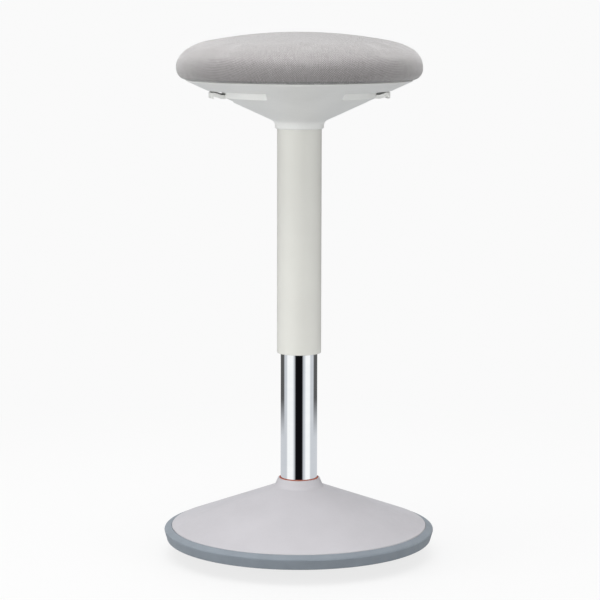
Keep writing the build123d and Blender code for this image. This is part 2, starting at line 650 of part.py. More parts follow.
# Thrust bearing under the rod: two races, balls and a cage
BALL_RADIUS = BALL_DIAMETER / 2
RACE_RADIUS = RACE_DIAMETER / 2
PITCH_RADIUS = BALL_CIRCLE / 2
with BuildPart() as bearing_lower_race:
    turned(
        (
            (ROD_NECK + SLIDE_GAP, STAND_FLOOR_TOP),
            (RACE_RADIUS, STAND_FLOOR_TOP),
            (RACE_RADIUS, STAND_FLOOR_TOP + RACE_THICKNESS),
            (ROD_NECK + SLIDE_GAP, STAND_FLOOR_TOP + RACE_THICKNESS),
        )
    )
    with Locations((0, 0, BALL_HEIGHT)):
        Torus(PITCH_RADIUS, BALL_RADIUS + BALL_GAP, mode=Mode.SUBTRACT)
save(bearing_lower_race, "bearing_lower_race")

with BuildPart() as bearing_upper_race:
    turned(
        (
            (ROD_NECK + TAPER_GAP, UPPER_RACE),
            (RACE_RADIUS, UPPER_RACE),
            (RACE_RADIUS, ROD_SHOULDER),
            (ROD_NECK + TAPER_GAP, ROD_SHOULDER),
        )
    )
    with Locations((0, 0, BALL_HEIGHT)):
        Torus(PITCH_RADIUS, BALL_RADIUS + BALL_GAP, mode=Mode.SUBTRACT)
save(bearing_upper_race, "bearing_upper_race")

with BuildPart() as bearing_balls:
    with PolarLocations(PITCH_RADIUS, BALL_COUNT):
        with Locations((0, 0, BALL_HEIGHT)):
            Sphere(BALL_RADIUS)
save(bearing_balls, "bearing_balls")

CAGE_HALF_WIDTH = BALL_RADIUS + 0.8
with BuildPart() as bearing_cage:
    upright(PITCH_RADIUS + CAGE_HALF_WIDTH, BALL_HEIGHT - CAGE_HEIGHT / 2, BALL_HEIGHT + CAGE_HEIGHT / 2)
    upright(
        PITCH_RADIUS - CAGE_HALF_WIDTH,
        BALL_HEIGHT - CAGE_HEIGHT / 2,
        BALL_HEIGHT + CAGE_HEIGHT / 2,
        mode=Mode.SUBTRACT,
    )
    with PolarLocations(PITCH_RADIUS, BALL_COUNT):
        upright(
            BALL_RADIUS + BALL_GAP,
            BALL_HEIGHT - CAGE_HEIGHT / 2,
            BALL_HEIGHT + CAGE_HEIGHT / 2,
            mode=Mode.SUBTRACT,
        )
save(bearing_cage, "bearing_cage")

# Rubber bump stop around the rod, above the bearing
BUMP_RADIUS = BUMP_DIAMETER / 2
with BuildPart() as bump_stop:
    turned(
        (
            (ROD_RADIUS + TAPER_GAP, ROD_SHOULDER),
            (BUMP_RADIUS, ROD_SHOULDER),
            (BUMP_RADIUS - 2.0, ROD_SHOULDER + BUMP_HEIGHT / 2),
            (BUMP_RADIUS, BUMP_TOP),
            (ROD_RADIUS + TAPER_GAP, BUMP_TOP),
        ),
        rounds=((1, 1.5), (2, 3.0), (3, 1.5)),
    )
save(bump_stop, "bump_stop")

# Piston rod: neck through the bearing and the floor, shank, and end through the piston
WASHER_TOP = STAND_BOTTOM - SLIDE_GAP
CLIP_TOP = WASHER_TOP - ROD_WASHER_THICKNESS
CLIP_BOTTOM = CLIP_TOP - ROD_CLIP_THICKNESS
ROD_BOTTOM = CLIP_BOTTOM - ROD_END_PROUD
ROD_GROOVE = ROD_NECK - ROD_GROOVE_DEPTH
ROD_END = ROD_RADIUS - 1.5
with BuildPart() as piston_rod:
    turned(
        (
            (0, ROD_BOTTOM),
            (ROD_NECK, ROD_BOTTOM),
            (ROD_NECK, CLIP_BOTTOM),
            (ROD_GROOVE, CLIP_BOTTOM),
            (ROD_GROOVE, CLIP_TOP),
            (ROD_NECK, CLIP_TOP),
            (ROD_NECK, ROD_SHOULDER),
            (ROD_RADIUS, ROD_SHOULDER),
            (ROD_RADIUS, PISTON_BOTTOM),
            (ROD_END, PISTON_BOTTOM),
            (ROD_END, PISTON_TOP),
            (ROD_RADIUS, PISTON_TOP),
            (ROD_RADIUS, ROD_TOP),
            (0, ROD_TOP),
        ),
        rounds=((1, 0.8), (12, 1.0)),
    )
save(piston_rod, "piston_rod")

with BuildPart() as rod_washer:
    upright(ROD_WASHER_DIAMETER / 2, CLIP_TOP, WASHER_TOP)
    upright(ROD_NECK + TAPER_GAP, CLIP_TOP, WASHER_TOP, mode=Mode.SUBTRACT)
save(rod_washer, "rod_washer")

# Open clip in the groove of the rod
with BuildPart() as rod_clip:
    upright(ROD_CLIP_DIAMETER / 2, CLIP_BOTTOM, CLIP_TOP)
    upright(ROD_GROOVE + RUNNING_GAP, CLIP_BOTTOM, CLIP_TOP, mode=Mode.SUBTRACT)
    with Locations((ROD_CLIP_DIAMETER / 2, 0, 0)):
        slab(ROD_CLIP_DIAMETER, ROD_GROOVE * 1.7, CLIP_BOTTOM, CLIP_TOP, mode=Mode.SUBTRACT)
save(rod_clip, "rod_clip")

# Piston with its seal
PISTON_RADIUS = CYLINDER_BORE - SLIDE_GAP
SEAL_RADIUS = PISTON_SEAL_DIAMETER / 2
SEAL_CIRCLE = CYLINDER_BORE - TAPER_GAP - SEAL_RADIUS
SEAL_HEIGHT = (PISTON_BOTTOM + PISTON_TOP) / 2
with BuildPart() as piston:
    turned(
        (
            (ROD_END + TAPER_GAP, PISTON_BOTTOM),
            (PISTON_RADIUS, PISTON_BOTTOM),
            (PISTON_RADIUS, SEAL_HEIGHT - SEAL_RADIUS - TAPER_GAP),
            (SEAL_CIRCLE - SEAL_RADIUS - TAPER_GAP, SEAL_HEIGHT - SEAL_RADIUS - TAPER_GAP),
            (SEAL_CIRCLE - SEAL_RADIUS - TAPER_GAP, SEAL_HEIGHT + SEAL_RADIUS + TAPER_GAP),
            (PISTON_RADIUS, SEAL_HEIGHT + SEAL_RADIUS + TAPER_GAP),
            (PISTON_RADIUS, PISTON_TOP),
            (ROD_END + TAPER_GAP, PISTON_TOP),
        ),
        rounds=((1, 0.6), (6, 0.6)),
    )
save(piston, "piston")

with BuildPart() as piston_seal:
    with Locations((0, 0, SEAL_HEIGHT)):
        Torus(SEAL_CIRCLE, SEAL_RADIUS)
save(piston_seal, "piston_seal")

# Gas cylinder, with its tapered head and rolled ends
VALVE_PIN_RADIUS = VALVE_PIN_DIAMETER / 2
CYLINDER_HEAD = CYLINDER_RADIUS - (CYLINDER_TOP - TAPER_SOCKET_BOTTOM) * TAPER_RISE
with BuildPart() as gas_cylinder:
    turned(
        (
            (ROD_RADIUS + 0.8, CYLINDER_BOTTOM),
            (CYLINDER_RADIUS, CYLINDER_BOTTOM),
            (CYLINDER_RADIUS, TAPER_SOCKET_BOTTOM),
            (CYLINDER_HEAD, CYLINDER_TOP),
            (VALVE_PIN_RADIUS + 0.6, CYLINDER_TOP),
            (VALVE_PIN_RADIUS + 0.6, CYLINDER_TOP - CYLINDER_LIP),
            (CYLINDER_BORE, CYLINDER_TOP - CYLINDER_LIP),
            (CYLINDER_BORE, CYLINDER_BOTTOM + CYLINDER_LIP),
            (ROD_RADIUS + 0.8, CYLINDER_BOTTOM + CYLINDER_LIP),
        ),
        rounds=((1, 1.5), (3, 0.8)),
    )
save(gas_cylinder, "gas_cylinder")

# Rod guide and rod seal in the lower end of the cylinder
ROD_GUIDE_BOTTOM = CYLINDER_BOTTOM + CYLINDER_LIP + SEAT_GAP
with BuildPart() as rod_guide:
    turned(
        (
            (ROD_RADIUS + SLIDE_GAP, ROD_GUIDE_BOTTOM),
            (CYLINDER_BORE - TAPER_GAP, ROD_GUIDE_BOTTOM),
            (CYLINDER_BORE - TAPER_GAP, GUIDE_TOP - ROD_SEAL_HEIGHT),
            (ROD_RADIUS + SLIDE_GAP, GUIDE_TOP - ROD_SEAL_HEIGHT),
        )
    )
save(rod_guide, "rod_guide")

with BuildPart() as rod_seal:
    turned(
        (
            (ROD_RADIUS + SLIDE_GAP, GUIDE_TOP - ROD_SEAL_HEIGHT),
            (CYLINDER_BORE - TAPER_GAP, GUIDE_TOP - ROD_SEAL_HEIGHT),
            (CYLINDER_BORE - TAPER_GAP, GUIDE_TOP),
            (CYLINDER_BORE - 2.5, GUIDE_TOP),
            ((ROD_RADIUS + CYLINDER_BORE) / 2, GUIDE_TOP - ROD_SEAL_HEIGHT / 2),
            (ROD_RADIUS + 2.5, GUIDE_TOP),
            (ROD_RADIUS + SLIDE_GAP, GUIDE_TOP),
        ),
        rounds=((4, 0.8),),
    )
save(rod_seal, "rod_seal")

# Valve body in the head of the cylinder, with grooves for its rings
VALVE_BODY_RADIUS = CYLINDER_BORE - TAPER_GAP
VALVE_FLOOR = VALVE_PIN_BOTTOM - VALVE_STROKE_ROOM
with BuildPart() as valve_body:
    upright(VALVE_BODY_RADIUS, VALVE_BODY_BOTTOM, VALVE_BODY_TOP)
    upright(VALVE_PIN_RADIUS + SLIDE_GAP, VALVE_FLOOR, VALVE_BODY_TOP, mode=Mode.SUBTRACT)
    for share in (0.25, 0.6):
        ring = VALVE_BODY_BOTTOM + VALVE_BODY_HEIGHT * share
        turned(
            (
                (VALVE_BODY_RADIUS - 1.6, ring),
                (VALVE_BODY_RADIUS + 1.0, ring),
                (VALVE_BODY_RADIUS + 1.0, ring + 2.2),
                (VALVE_BODY_RADIUS - 1.6, ring + 2.2),
            ),
            mode=Mode.SUBTRACT,
        )
save(valve_body, "valve_body")

with BuildPart() as valve_pin:
    turned(
        (
            (0, VALVE_PIN_BOTTOM),
            (VALVE_PIN_RADIUS, VALVE_PIN_BOTTOM),
            (VALVE_PIN_RADIUS, VALVE_PIN_TOP),
            (0, VALVE_PIN_TOP),
        ),
        rounds=((2, 0.6),),
    )
save(valve_pin, "valve_pin")

# Release cap on the pin: a window through it takes the tips of both paddles
CAP_RADIUS = CAP_DIAMETER / 2
with BuildPart() as release_cap:
    turned(
        (
            (0, CAP_BOTTOM),
            (CAP_RADIUS, CAP_BOTTOM),
            (CAP_RADIUS, CAP_TOP),
            (0, CAP_TOP),
        ),
        rounds=((1, 0.8), (2, 1.5)),
    )
    upright(VALVE_PIN_RADIUS + TAPER_GAP, CAP_BOTTOM, VALVE_PIN_TOP, mode=Mode.SUBTRACT)
    slab(
        CAP_DIAMETER + 2,
        TIP_WIDTH + 2 * CAP_PLAY,
        TIP_BOTTOM - CAP_PLAY,
        TIP_TOP + CAP_PLAY,
        mode=Mode.SUBTRACT,
    )
save(release_cap, "release_cap")

# Column sleeve, hung by its flange between the seat bracket and the shell
with BuildPart() as column_sleeve:
    turned(
        (
            (SLEEVE_BORE, SLEEVE_BOTTOM),
            (SLEEVE_RADIUS, SLEEVE_BOTTOM),
            (SLEEVE_RADIUS, SLEEVE_FLANGE_BOTTOM),
            (SLEEVE_FLANGE_DIAMETER / 2, SLEEVE_FLANGE_BOTTOM),
            (SLEEVE_FLANGE_DIAMETER / 2, SLEEVE_TOP),
            (SLEEVE_BORE, SLEEVE_TOP),
        ),
        rounds=((0, 0.5), (1, 0.8)),
    )
save(column_sleeve, "column_sleeve")

# Glide ring in the lower end of the sleeve, running on the stand tube
GLIDE_BOTTOM = SLEEVE_BOTTOM + GLIDE_RECESS
with BuildPart() as sleeve_glide:
    turned(
        (
            (STAND_RADIUS + SLIDE_GAP, GLIDE_BOTTOM),
            (SLEEVE_BORE - TAPER_GAP, GLIDE_BOTTOM),
            (SLEEVE_BORE - TAPER_GAP, GLIDE_BOTTOM + GLIDE_HEIGHT),
            (STAND_RADIUS + SLIDE_GAP, GLIDE_BOTTOM + GLIDE_HEIGHT),
        ),
        rounds=((0, 0.6), (3, 0.6)),
    )
save(sleeve_glide, "sleeve_glide")

# Taper socket of the seat, set in the web of the bracket
TAPER_SOCKET_RADIUS = CYLINDER_RADIUS + TAPER_GAP + TAPER_SOCKET_WALL
with BuildPart() as taper_socket:
    turned(
        (
            (CYLINDER_RADIUS + TAPER_GAP, TAPER_SOCKET_BOTTOM),
            (TAPER_SOCKET_RADIUS, TAPER_SOCKET_BOTTOM),
            (TAPER_SOCKET_RADIUS, TAPER_SOCKET_TOP),
            (CYLINDER_RADIUS + TAPER_GAP - TAPER_SOCKET_LENGTH * TAPER_RISE, TAPER_SOCKET_TOP),
        ),
        rounds=((1, 1.0), (2, 1.0)),
    )
save(taper_socket, "taper_socket")

# Seat bracket: a bent channel with ears for the pivot pins and flanges under the board
BRACKET_HALF = BRACKET_WIDTH / 2
EAR_MIDDLE = BRACKET_HALF - BRACKET_STEEL / 2
EAR_INSIDE = BRACKET_HALF - BRACKET_STEEL
EAR_REACH = BRACKET_EAR_LENGTH / 2
WEB_REACH = BRACKET_WEB_LENGTH / 2
with BuildPart() as seat_bracket:
    slab(BRACKET_WEB_LENGTH, BRACKET_WIDTH, WEB_BOTTOM, WEB_TOP)
    for side in (-1, 1):
        with BuildSketch(Plane.XZ.offset(side * EAR_MIDDLE)):
            with BuildLine():
                Polyline(
                    (-WEB_REACH, WEB_BOTTOM),
                    (WEB_REACH, WEB_BOTTOM),
                    (EAR_REACH, WEB_BOTTOM + BRACKET_EAR_DROP),
                    (EAR_REACH, BOARD_BOTTOM),
                    (-EAR_REACH, BOARD_BOTTOM),
                    (-EAR_REACH, WEB_BOTTOM + BRACKET_EAR_DROP),
                    close=True,
                )
            make_face()
        extrude(amount=BRACKET_STEEL / 2, both=True)
        with Locations((0, side * (EAR_INSIDE + BRACKET_FLANGE_REACH / 2), 0)):
            slab(BRACKET_FLANGE_LENGTH, BRACKET_FLANGE_REACH, BOARD_BOTTOM - BRACKET_STEEL, BOARD_BOTTOM)
    upright(TAPER_SOCKET_RADIUS + TAPER_GAP, WEB_BOTTOM, WEB_TOP, mode=Mode.SUBTRACT)
    with GridLocations(BRACKET_SCREW_X, BRACKET_SCREW_Y, 2, 2):
        upright(
            BRACKET_SCREW_DIAMETER / 2 + SCREW_GAP,
            BOARD_BOTTOM - BRACKET_STEEL,
            BOARD_BOTTOM,
            mode=Mode.SUBTRACT,
        )
    with Locations((-PIVOT_REACH, 0, PIVOT_HEIGHT), (PIVOT_REACH, 0, PIVOT_HEIGHT)):
        Cylinder(
            PIVOT_PIN_DIAMETER / 2 + RUNNING_GAP,
            BRACKET_WIDTH + 2,
            rotation=(90, 0, 0),
            mode=Mode.SUBTRACT,
        )
save(seat_bracket, "seat_bracket")

# Seat board with holes for the tee nuts and the shell screws
TEE_BORE = BRACKET_SCREW_DIAMETER / 2 + SCREW_GAP
TEE_RADIUS = TEE_BORE + TEE_NUT_WALL
SHELL_SCREW_RADIUS = SHELL_RADIUS - SHELL_SCREW_SETBACK
SHELL_SCREW_SEAT = POCKET_CEILING + SHELL_SCREW_HEAD_HEIGHT + SEAT_GAP
SHELL_SCREW_TOP = SHELL_SCREW_SEAT + SHELL_SCREW_LENGTH
SHELL_SCREW_SPOTS = [
    (
        side * SHELL_SCREW_RADIUS * cos(radians(SHELL_SCREW_ANGLE)),
        end * SHELL_SCREW_RADIUS * sin(radians(SHELL_SCREW_ANGLE)),
    )
    for side in (-1, 1)
    for end in (-1, 1)
]
with BuildPart() as seat_board:
    upright(BOARD_RADIUS, BOARD_BOTTOM, BOARD_TOP)
    with GridLocations(BRACKET_SCREW_X, BRACKET_SCREW_Y, 2, 2):
        upright(TEE_RADIUS + SCREW_GAP, BOARD_BOTTOM, BOARD_TOP, mode=Mode.SUBTRACT)
        upright(
            TEE_NUT_FLANGE / 2 + SCREW_GAP,
            BOARD_TOP - TEE_NUT_FLANGE_THICKNESS,
            BOARD_TOP,
            mode=Mode.SUBTRACT,
        )
    with Locations(*SHELL_SCREW_SPOTS):
        upright(
            SHELL_SCREW_DIAMETER / 2 + SCREW_GAP,
            BOARD_BOTTOM,
            SHELL_SCREW_TOP + 0.5,
            mode=Mode.SUBTRACT,
        )
save(seat_board, "seat_board")

with BuildPart() as tee_nuts:
    with GridLocations(BRACKET_SCREW_X, BRACKET_SCREW_Y, 2, 2):
        upright(TEE_NUT_FLANGE / 2, BOARD_TOP - TEE_NUT_FLANGE_THICKNESS, BOARD_TOP)
        upright(TEE_RADIUS, BOARD_TOP - TEE_NUT_DEPTH, BOARD_TOP)
        upright(TEE_BORE, BOARD_TOP - TEE_NUT_DEPTH, BOARD_TOP, mode=Mode.SUBTRACT)
save(tee_nuts, "tee_nuts")

# Hexagon screws that hold the bracket to the tee nuts
BRACKET_SCREW_SEAT = BOARD_BOTTOM - BRACKET_STEEL
with BuildPart() as bracket_screws:
    with GridLocations(BRACKET_SCREW_X, BRACKET_SCREW_Y, 2, 2):
        upright(BRACKET_SCREW_DIAMETER / 2, BRACKET_SCREW_SEAT, BRACKET_SCREW_SEAT + BRACKET_SCREW_LENGTH)
    with BuildSketch(Plane.XY.offset(BRACKET_SCREW_SEAT - BRACKET_SCREW_HEAD_HEIGHT)):
        with GridLocations(BRACKET_SCREW_X, BRACKET_SCREW_Y, 2, 2):
            RegularPolygon(BRACKET_SCREW_HEAD / 2, 6, major_radius=False)
    extrude(amount=BRACKET_SCREW_HEAD_HEIGHT)
save(bracket_screws, "bracket_screws")


# Cushion: the foam pad and the fabric cover share one outline of tangent arcs.
# Each arc has a centre, a radius, and its first and last angle from the upright.
TUCK_RADIUS = SEAT_RADIUS - CUSHION_TUCK
SIDE_HEIGHT = CUSHION_BOTTOM + CUSHION_TUCK
CROWN_SIN = sin(radians(CROWN_ANGLE))
CROWN_COS = cos(radians(CROWN_ANGLE))
SHOULDER_SIN = sin(radians(SHOULDER_ANGLE))
SHOULDER_COS = cos(radians(SHOULDER_ANGLE))
ARC_WIDTH = SEAT_RADIUS - CROWN_RADIUS * CROWN_SIN
ARC_HEIGHT = SEAT_HEIGHT - SIDE_HEIGHT - CROWN_RADIUS * (1 - CROWN_COS)
ARC_SCALE = (SHOULDER_SIN - CROWN_SIN) * SHOULDER_COS - (1 - SHOULDER_SIN) * (CROWN_COS - SHOULDER_COS)
SHOULDER_RADIUS = (ARC_WIDTH * SHOULDER_COS - ARC_HEIGHT * (1 - SHOULDER_SIN)) / ARC_SCALE
EDGE_RADIUS = (
    ARC_HEIGHT * (SHOULDER_SIN - CROWN_SIN) - ARC_WIDTH * (CROWN_COS - SHOULDER_COS)
) / ARC_SCALE
CROWN_CENTRE = (0.0, SEAT_HEIGHT - CROWN_RADIUS)
SHOULDER_CENTRE = (
    (CROWN_RADIUS - SHOULDER_RADIUS) * CROWN_SIN,
    CROWN_CENTRE[1] + (CROWN_RADIUS - SHOULDER_RADIUS) * CROWN_COS,
)
CUSHION_ARCS = (
    (CROWN_CENTRE, CROWN_RADIUS, 0.0, CROWN_ANGLE),
    (SHOULDER_CENTRE, SHOULDER_RADIUS, CROWN_ANGLE, SHOULDER_ANGLE),
    ((SEAT_RADIUS - EDGE_RADIUS, SIDE_HEIGHT), EDGE_RADIUS, SHOULDER_ANGLE, 90.0),
    ((TUCK_RADIUS, SIDE_HEIGHT), CUSHION_TUCK, 90.0, 180.0),
)


def cushion_arcs(inset):
    """Draw the cushion's outline from its crown to its underside, set in from the fabric's face."""
    for centre, radius, first, last in CUSHION_ARCS:
        points = []
        for angle in (first, (first + last) / 2, last):
            across = centre[0] + (radius - inset) * sin(radians(angle))
            points.append((across, centre[1] + (radius - inset) * cos(radians(angle))))
        ThreePointArc(*points)


with BuildPart() as seat_cover:
    with BuildSketch(Plane.XZ):
        with BuildLine():
            cushion_arcs(0.0)
            Polyline(
                (TUCK_RADIUS, CUSHION_BOTTOM),
                (HEM_RADIUS, CUSHION_BOTTOM),
                (HEM_RADIUS, CUSHION_BOTTOM + FABRIC_THICKNESS),
                (TUCK_RADIUS, CUSHION_BOTTOM + FABRIC_THICKNESS),
            )
            cushion_arcs(FABRIC_THICKNESS)
            Line((0, SEAT_HEIGHT - FABRIC_THICKNESS), (0, SEAT_HEIGHT))
        make_face()
    revolve(axis=Axis.Z)
save(seat_cover, "seat_cover")

FOAM_INSET = FABRIC_THICKNESS + SEAT_GAP
with BuildPart() as seat_foam:
    with BuildSketch(Plane.XZ):
        with BuildLine():
            cushion_arcs(FOAM_INSET)
            Polyline(
                (TUCK_RADIUS, CUSHION_BOTTOM + FOAM_INSET),
                (BOARD_RADIUS + SEAT_GAP, CUSHION_BOTTOM + FOAM_INSET),
                (BOARD_RADIUS + SEAT_GAP, BOARD_TOP + SEAT_GAP),
                (0, BOARD_TOP + SEAT_GAP),
                (0, SEAT_HEIGHT - FOAM_INSET),
            )
        make_face()
    revolve(axis=Axis.Z)
save(seat_foam, "seat_foam")

# Staples through the hem into the board
with BuildPart() as cover_staples:
    with PolarLocations(BOARD_RADIUS - HEM_WIDTH / 2, STAPLE_COUNT):
        slab(STAPLE_WIRE, STAPLE_WIDTH, CUSHION_BOTTOM - STAPLE_WIRE, CUSHION_BOTTOM)
        with Locations((0, (STAPLE_WIDTH - STAPLE_WIRE) / 2, 0), (0, (STAPLE_WIRE - STAPLE_WIDTH) / 2, 0)):
            slab(STAPLE_WIRE, STAPLE_WIRE, CUSHION_BOTTOM - STAPLE_WIRE, CUSHION_BOTTOM + STAPLE_LEG)
save(cover_staples, "cover_staples")

# Seat shell: rim, cone, neck and inner collar, with a finger pocket on each side
INNER_COLLAR_RADIUS = NECK_BORE + INNER_COLLAR_WALL
RIM_INNER_RADIUS = SHELL_RADIUS - (CONE_TOP + CONE_WALL - RIM_TOP) / SHELL_RISE
LINER_RADIUS = POCKET_WALL_RADIUS - POCKET_WALL
LINER_TOP = POCKET_CEILING + POCKET_WALL
LINER_BOTTOM = cone(LINER_RADIUS)
ARM_TOP = PADDLE_TOP - PADDLE_RISE
WINDOW_TOP = ARM_TOP + WINDOW_HEADROOM
ARM_BOTTOM = ARM_TOP + ARM_KNEE_RISE - PADDLE_THICKNESS
WINDOW_WIDTH = PADDLE_WIDTH + 2 * PADDLE_SIDE_GAP
SILL_RADIUS = SHELL_RADIUS - (CONE_TOP + CONE_WALL - ARM_BOTTOM + WINDOW_SILL_GAP) / SHELL_RISE
WINDOW_START = sqrt(SILL_RADIUS**2 - (WINDOW_WIDTH / 2) ** 2)


def pocket_plan(height, inset=0.0):
    """Plan of both finger pockets at a height, or of the lining that lies inset behind their walls."""
    wall = POCKET_WALL_RADIUS - inset
    offset = POCKET_END_OFFSET - inset
    turn = radians(POCKET_END_TILT)
    corners = []
    for radius in (wall, SEAT_DIAMETER):
        along = sqrt(radius**2 - offset**2)
        corners.append((offset * cos(turn) + along * sin(turn), along * cos(turn) - offset * sin(turn)))
    near, far = corners
    with BuildSketch(Plane.XY.offset(height)) as plan:
        with BuildLine():
            ThreePointArc((near[0], -near[1]), (wall, 0), near)
            Polyline(
                near,
                far,
                (SEAT_DIAMETER, far[1]),
                (SEAT_DIAMETER, -far[1]),
                (far[0], -far[1]),
                (near[0], -near[1]),
            )
        make_face()
        fillet(plan.vertices().group_by(Axis.X)[0], POCKET_CORNER + inset)
        mirror(about=Plane.YZ)
    return plan.sketch


# Lining behind the walls and ceilings of both pockets, rooted in the wall of the cone
with BuildPart() as pocket_lining:
    extrude(pocket_plan(LINER_BOTTOM, POCKET_WALL), amount=LINER_TOP - LINER_BOTTOM, dir=(0, 0, 1))
    turned(
        (
            (NECK_RADIUS, NECK_TOP + CONE_WALL / 2),
            (SHELL_RADIUS, CONE_TOP + CONE_WALL / 2),
            (NECK_RADIUS, CONE_TOP + CONE_WALL / 2),
        ),
        mode=Mode.INTERSECT,
    )

with BuildPart() as seat_shell:
    turned(
        (
            (NECK_BORE, NECK_BOTTOM),
            (NECK_RADIUS - NECK_CHAMFER, NECK_BOTTOM),
            (NECK_RADIUS, NECK_BOTTOM + NECK_CHAMFER),
            (NECK_RADIUS, NECK_TOP),
            (SHELL_RADIUS, CONE_TOP),
            (SHELL_RADIUS, RIM_TOP),
            (RIM_INNER_RADIUS, RIM_TOP),
            (INNER_COLLAR_RADIUS, cone(INNER_COLLAR_RADIUS) + CONE_WALL),
            (INNER_COLLAR_RADIUS, INNER_COLLAR_TOP),
            (NECK_BORE, INNER_COLLAR_TOP),
        ),
        rounds=((3, NECK_FILLET), (4, 0.4), (5, 0.4)),
    )
    add(pocket_lining.part)
    extrude(
        pocket_plan(NECK_BOTTOM),
        amount=POCKET_CEILING - NECK_BOTTOM,
        dir=(0, 0, 1),
        mode=Mode.SUBTRACT,
    )
    with Locations(*SHELL_SCREW_SPOTS):
        upright(SHELL_BOSS_DIAMETER / 2, LINER_TOP - 0.5, BOARD_BOTTOM - SEAT_GAP)
        upright(SHELL_SCREW_DIAMETER / 2 + SCREW_GAP, POCKET_CEILING, BOARD_BOTTOM, mode=Mode.SUBTRACT)
        upright(SHELL_SCREW_HEAD / 2 + SCREW_GAP, POCKET_CEILING, SHELL_SCREW_SEAT, mode=Mode.SUBTRACT)
    with Locations((POCKET_WALL_RADIUS, 0, 0), (-POCKET_WALL_RADIUS, 0, 0)):
        slab(
            2 * (POCKET_WALL_RADIUS - WINDOW_START),
            WINDOW_WIDTH,
            NECK_BOTTOM,
            WINDOW_TOP,
            mode=Mode.SUBTRACT,
        )
save(seat_shell, "seat_shell")

# Screws up through the pocket ceilings into the board, with their heads recessed
SHELL_SCREW_BOTTOM = SHELL_SCREW_SEAT - SHELL_SCREW_HEAD_HEIGHT
with BuildPart() as shell_screws:
    with Locations(*SHELL_SCREW_SPOTS):
        upright(SHELL_SCREW_DIAMETER / 2, SHELL_SCREW_SEAT, SHELL_SCREW_TOP)
        upright(SHELL_SCREW_HEAD / 2, SHELL_SCREW_BOTTOM, SHELL_SCREW_SEAT)
    with BuildSketch(Plane.XY.offset(SHELL_SCREW_BOTTOM)):
        with Locations(*SHELL_SCREW_SPOTS):
            Rectangle(SHELL_SCREW_HEAD - 2 * DRIVE_MARGIN, DRIVE_SLOT)
            Rectangle(DRIVE_SLOT, SHELL_SCREW_HEAD - 2 * DRIVE_MARGIN)
    extrude(amount=DRIVE_DEPTH, mode=Mode.SUBTRACT)
save(shell_screws, "shell_screws")

# Release paddles: barrel on the pivot pin, arm and paddle outside, tip in the release cap
BARREL_RADIUS = BARREL_DIAMETER / 2
LIP_INSIDE = PADDLE_REACH - PADDLE_LIP_THICKNESS
ARM_KNEE = WINDOW_START + ARM_STEP
TIP_ROOT = CAP_RADIUS + 4.0
with BuildPart() as lever_right:
    with BuildSketch(Plane.XZ):
        with BuildLine():
            Polyline(
                (PIVOT_REACH, PIVOT_HEIGHT + BARREL_RADIUS - ARM_STEP),
                (ARM_KNEE, ARM_TOP + ARM_KNEE_RISE),
                (POCKET_WALL_RADIUS, ARM_TOP),
                (LIP_INSIDE - ARM_STEP, PADDLE_TOP),
                (PADDLE_REACH, PADDLE_TOP),
                (PADDLE_REACH, PADDLE_TOP - PADDLE_LIP_DEPTH),
                (LIP_INSIDE, PADDLE_TOP - PADDLE_LIP_DEPTH),
                (LIP_INSIDE, PADDLE_TOP - PADDLE_THICKNESS),
                (POCKET_WALL_RADIUS + 1.0, ARM_TOP - PADDLE_THICKNESS),
                (ARM_KNEE, ARM_BOTTOM),
                (PIVOT_REACH, PIVOT_HEIGHT - BARREL_RADIUS + ARM_STEP),
                close=True,
            )
        make_face()
    extrude(amount=PADDLE_WIDTH / 2, both=True)
    with BuildSketch(Plane.XY.offset(NECK_BOTTOM)):
        Circle(PADDLE_REACH)
    extrude(amount=SEAT_HEIGHT - NECK_BOTTOM, mode=Mode.INTERSECT)
    lip_face = lever_right.faces().filter_by(GeomType.CYLINDER).sort_by(Axis.X)[-1]
    fillet(lip_face.edges(), PADDLE_ROUND)
    with BuildSketch(Plane.XZ):
        with BuildLine():
            Polyline(
                (PIVOT_REACH, PIVOT_HEIGHT + BARREL_RADIUS),
                (TIP_ROOT, TIP_TOP - 0.8),
                (TIP_GAP, TIP_TOP),
                (TIP_GAP, TIP_BOTTOM),
                (TIP_ROOT, TIP_BOTTOM + 0.3),
                (PIVOT_REACH, PIVOT_HEIGHT - BARREL_RADIUS + 3.0),
                close=True,
            )
        make_face()
    extrude(amount=TIP_WIDTH / 2, both=True)
    with Locations((PIVOT_REACH, 0, PIVOT_HEIGHT)):
        Cylinder(BARREL_RADIUS, 2 * (EAR_INSIDE - SLIDE_GAP), rotation=(90, 0, 0))
        Cylinder(
            PIVOT_PIN_DIAMETER / 2 + RUNNING_GAP,
            BRACKET_WIDTH,
            rotation=(90, 0, 0),
            mode=Mode.SUBTRACT,
        )
save(lever_right, "lever_right")

with BuildPart() as lever_left:
    add(lever_right.part, rotation=(0, 0, 180))
save(lever_left, "lever_left")

# Pivot pins and the clips that keep them in the ears
PIN_LENGTH = BRACKET_WIDTH + 2 * PIVOT_PIN_PROUD
CLIP_PLACE = BRACKET_HALF + SEAT_GAP + PIVOT_CLIP_THICKNESS / 2
with BuildPart() as pivot_pins:
    with Locations((-PIVOT_REACH, 0, PIVOT_HEIGHT), (PIVOT_REACH, 0, PIVOT_HEIGHT)):
        Cylinder(PIVOT_PIN_DIAMETER / 2, PIN_LENGTH, rotation=(90, 0, 0))
save(pivot_pins, "pivot_pins")

with BuildPart() as pivot_clips:
    with GridLocations(2 * PIVOT_REACH, 2 * CLIP_PLACE, 2, 2):
        with Locations((0, 0, PIVOT_HEIGHT)):
            Cylinder(PIVOT_CLIP_DIAMETER / 2, PIVOT_CLIP_THICKNESS, rotation=(90, 0, 0))
            Cylinder(
                PIVOT_PIN_DIAMETER / 2 + RUNNING_GAP,
                PIVOT_CLIP_THICKNESS,
                rotation=(90, 0, 0),
                mode=Mode.SUBTRACT,
            )
save(pivot_clips, "pivot_clips")
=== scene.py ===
import json
import math

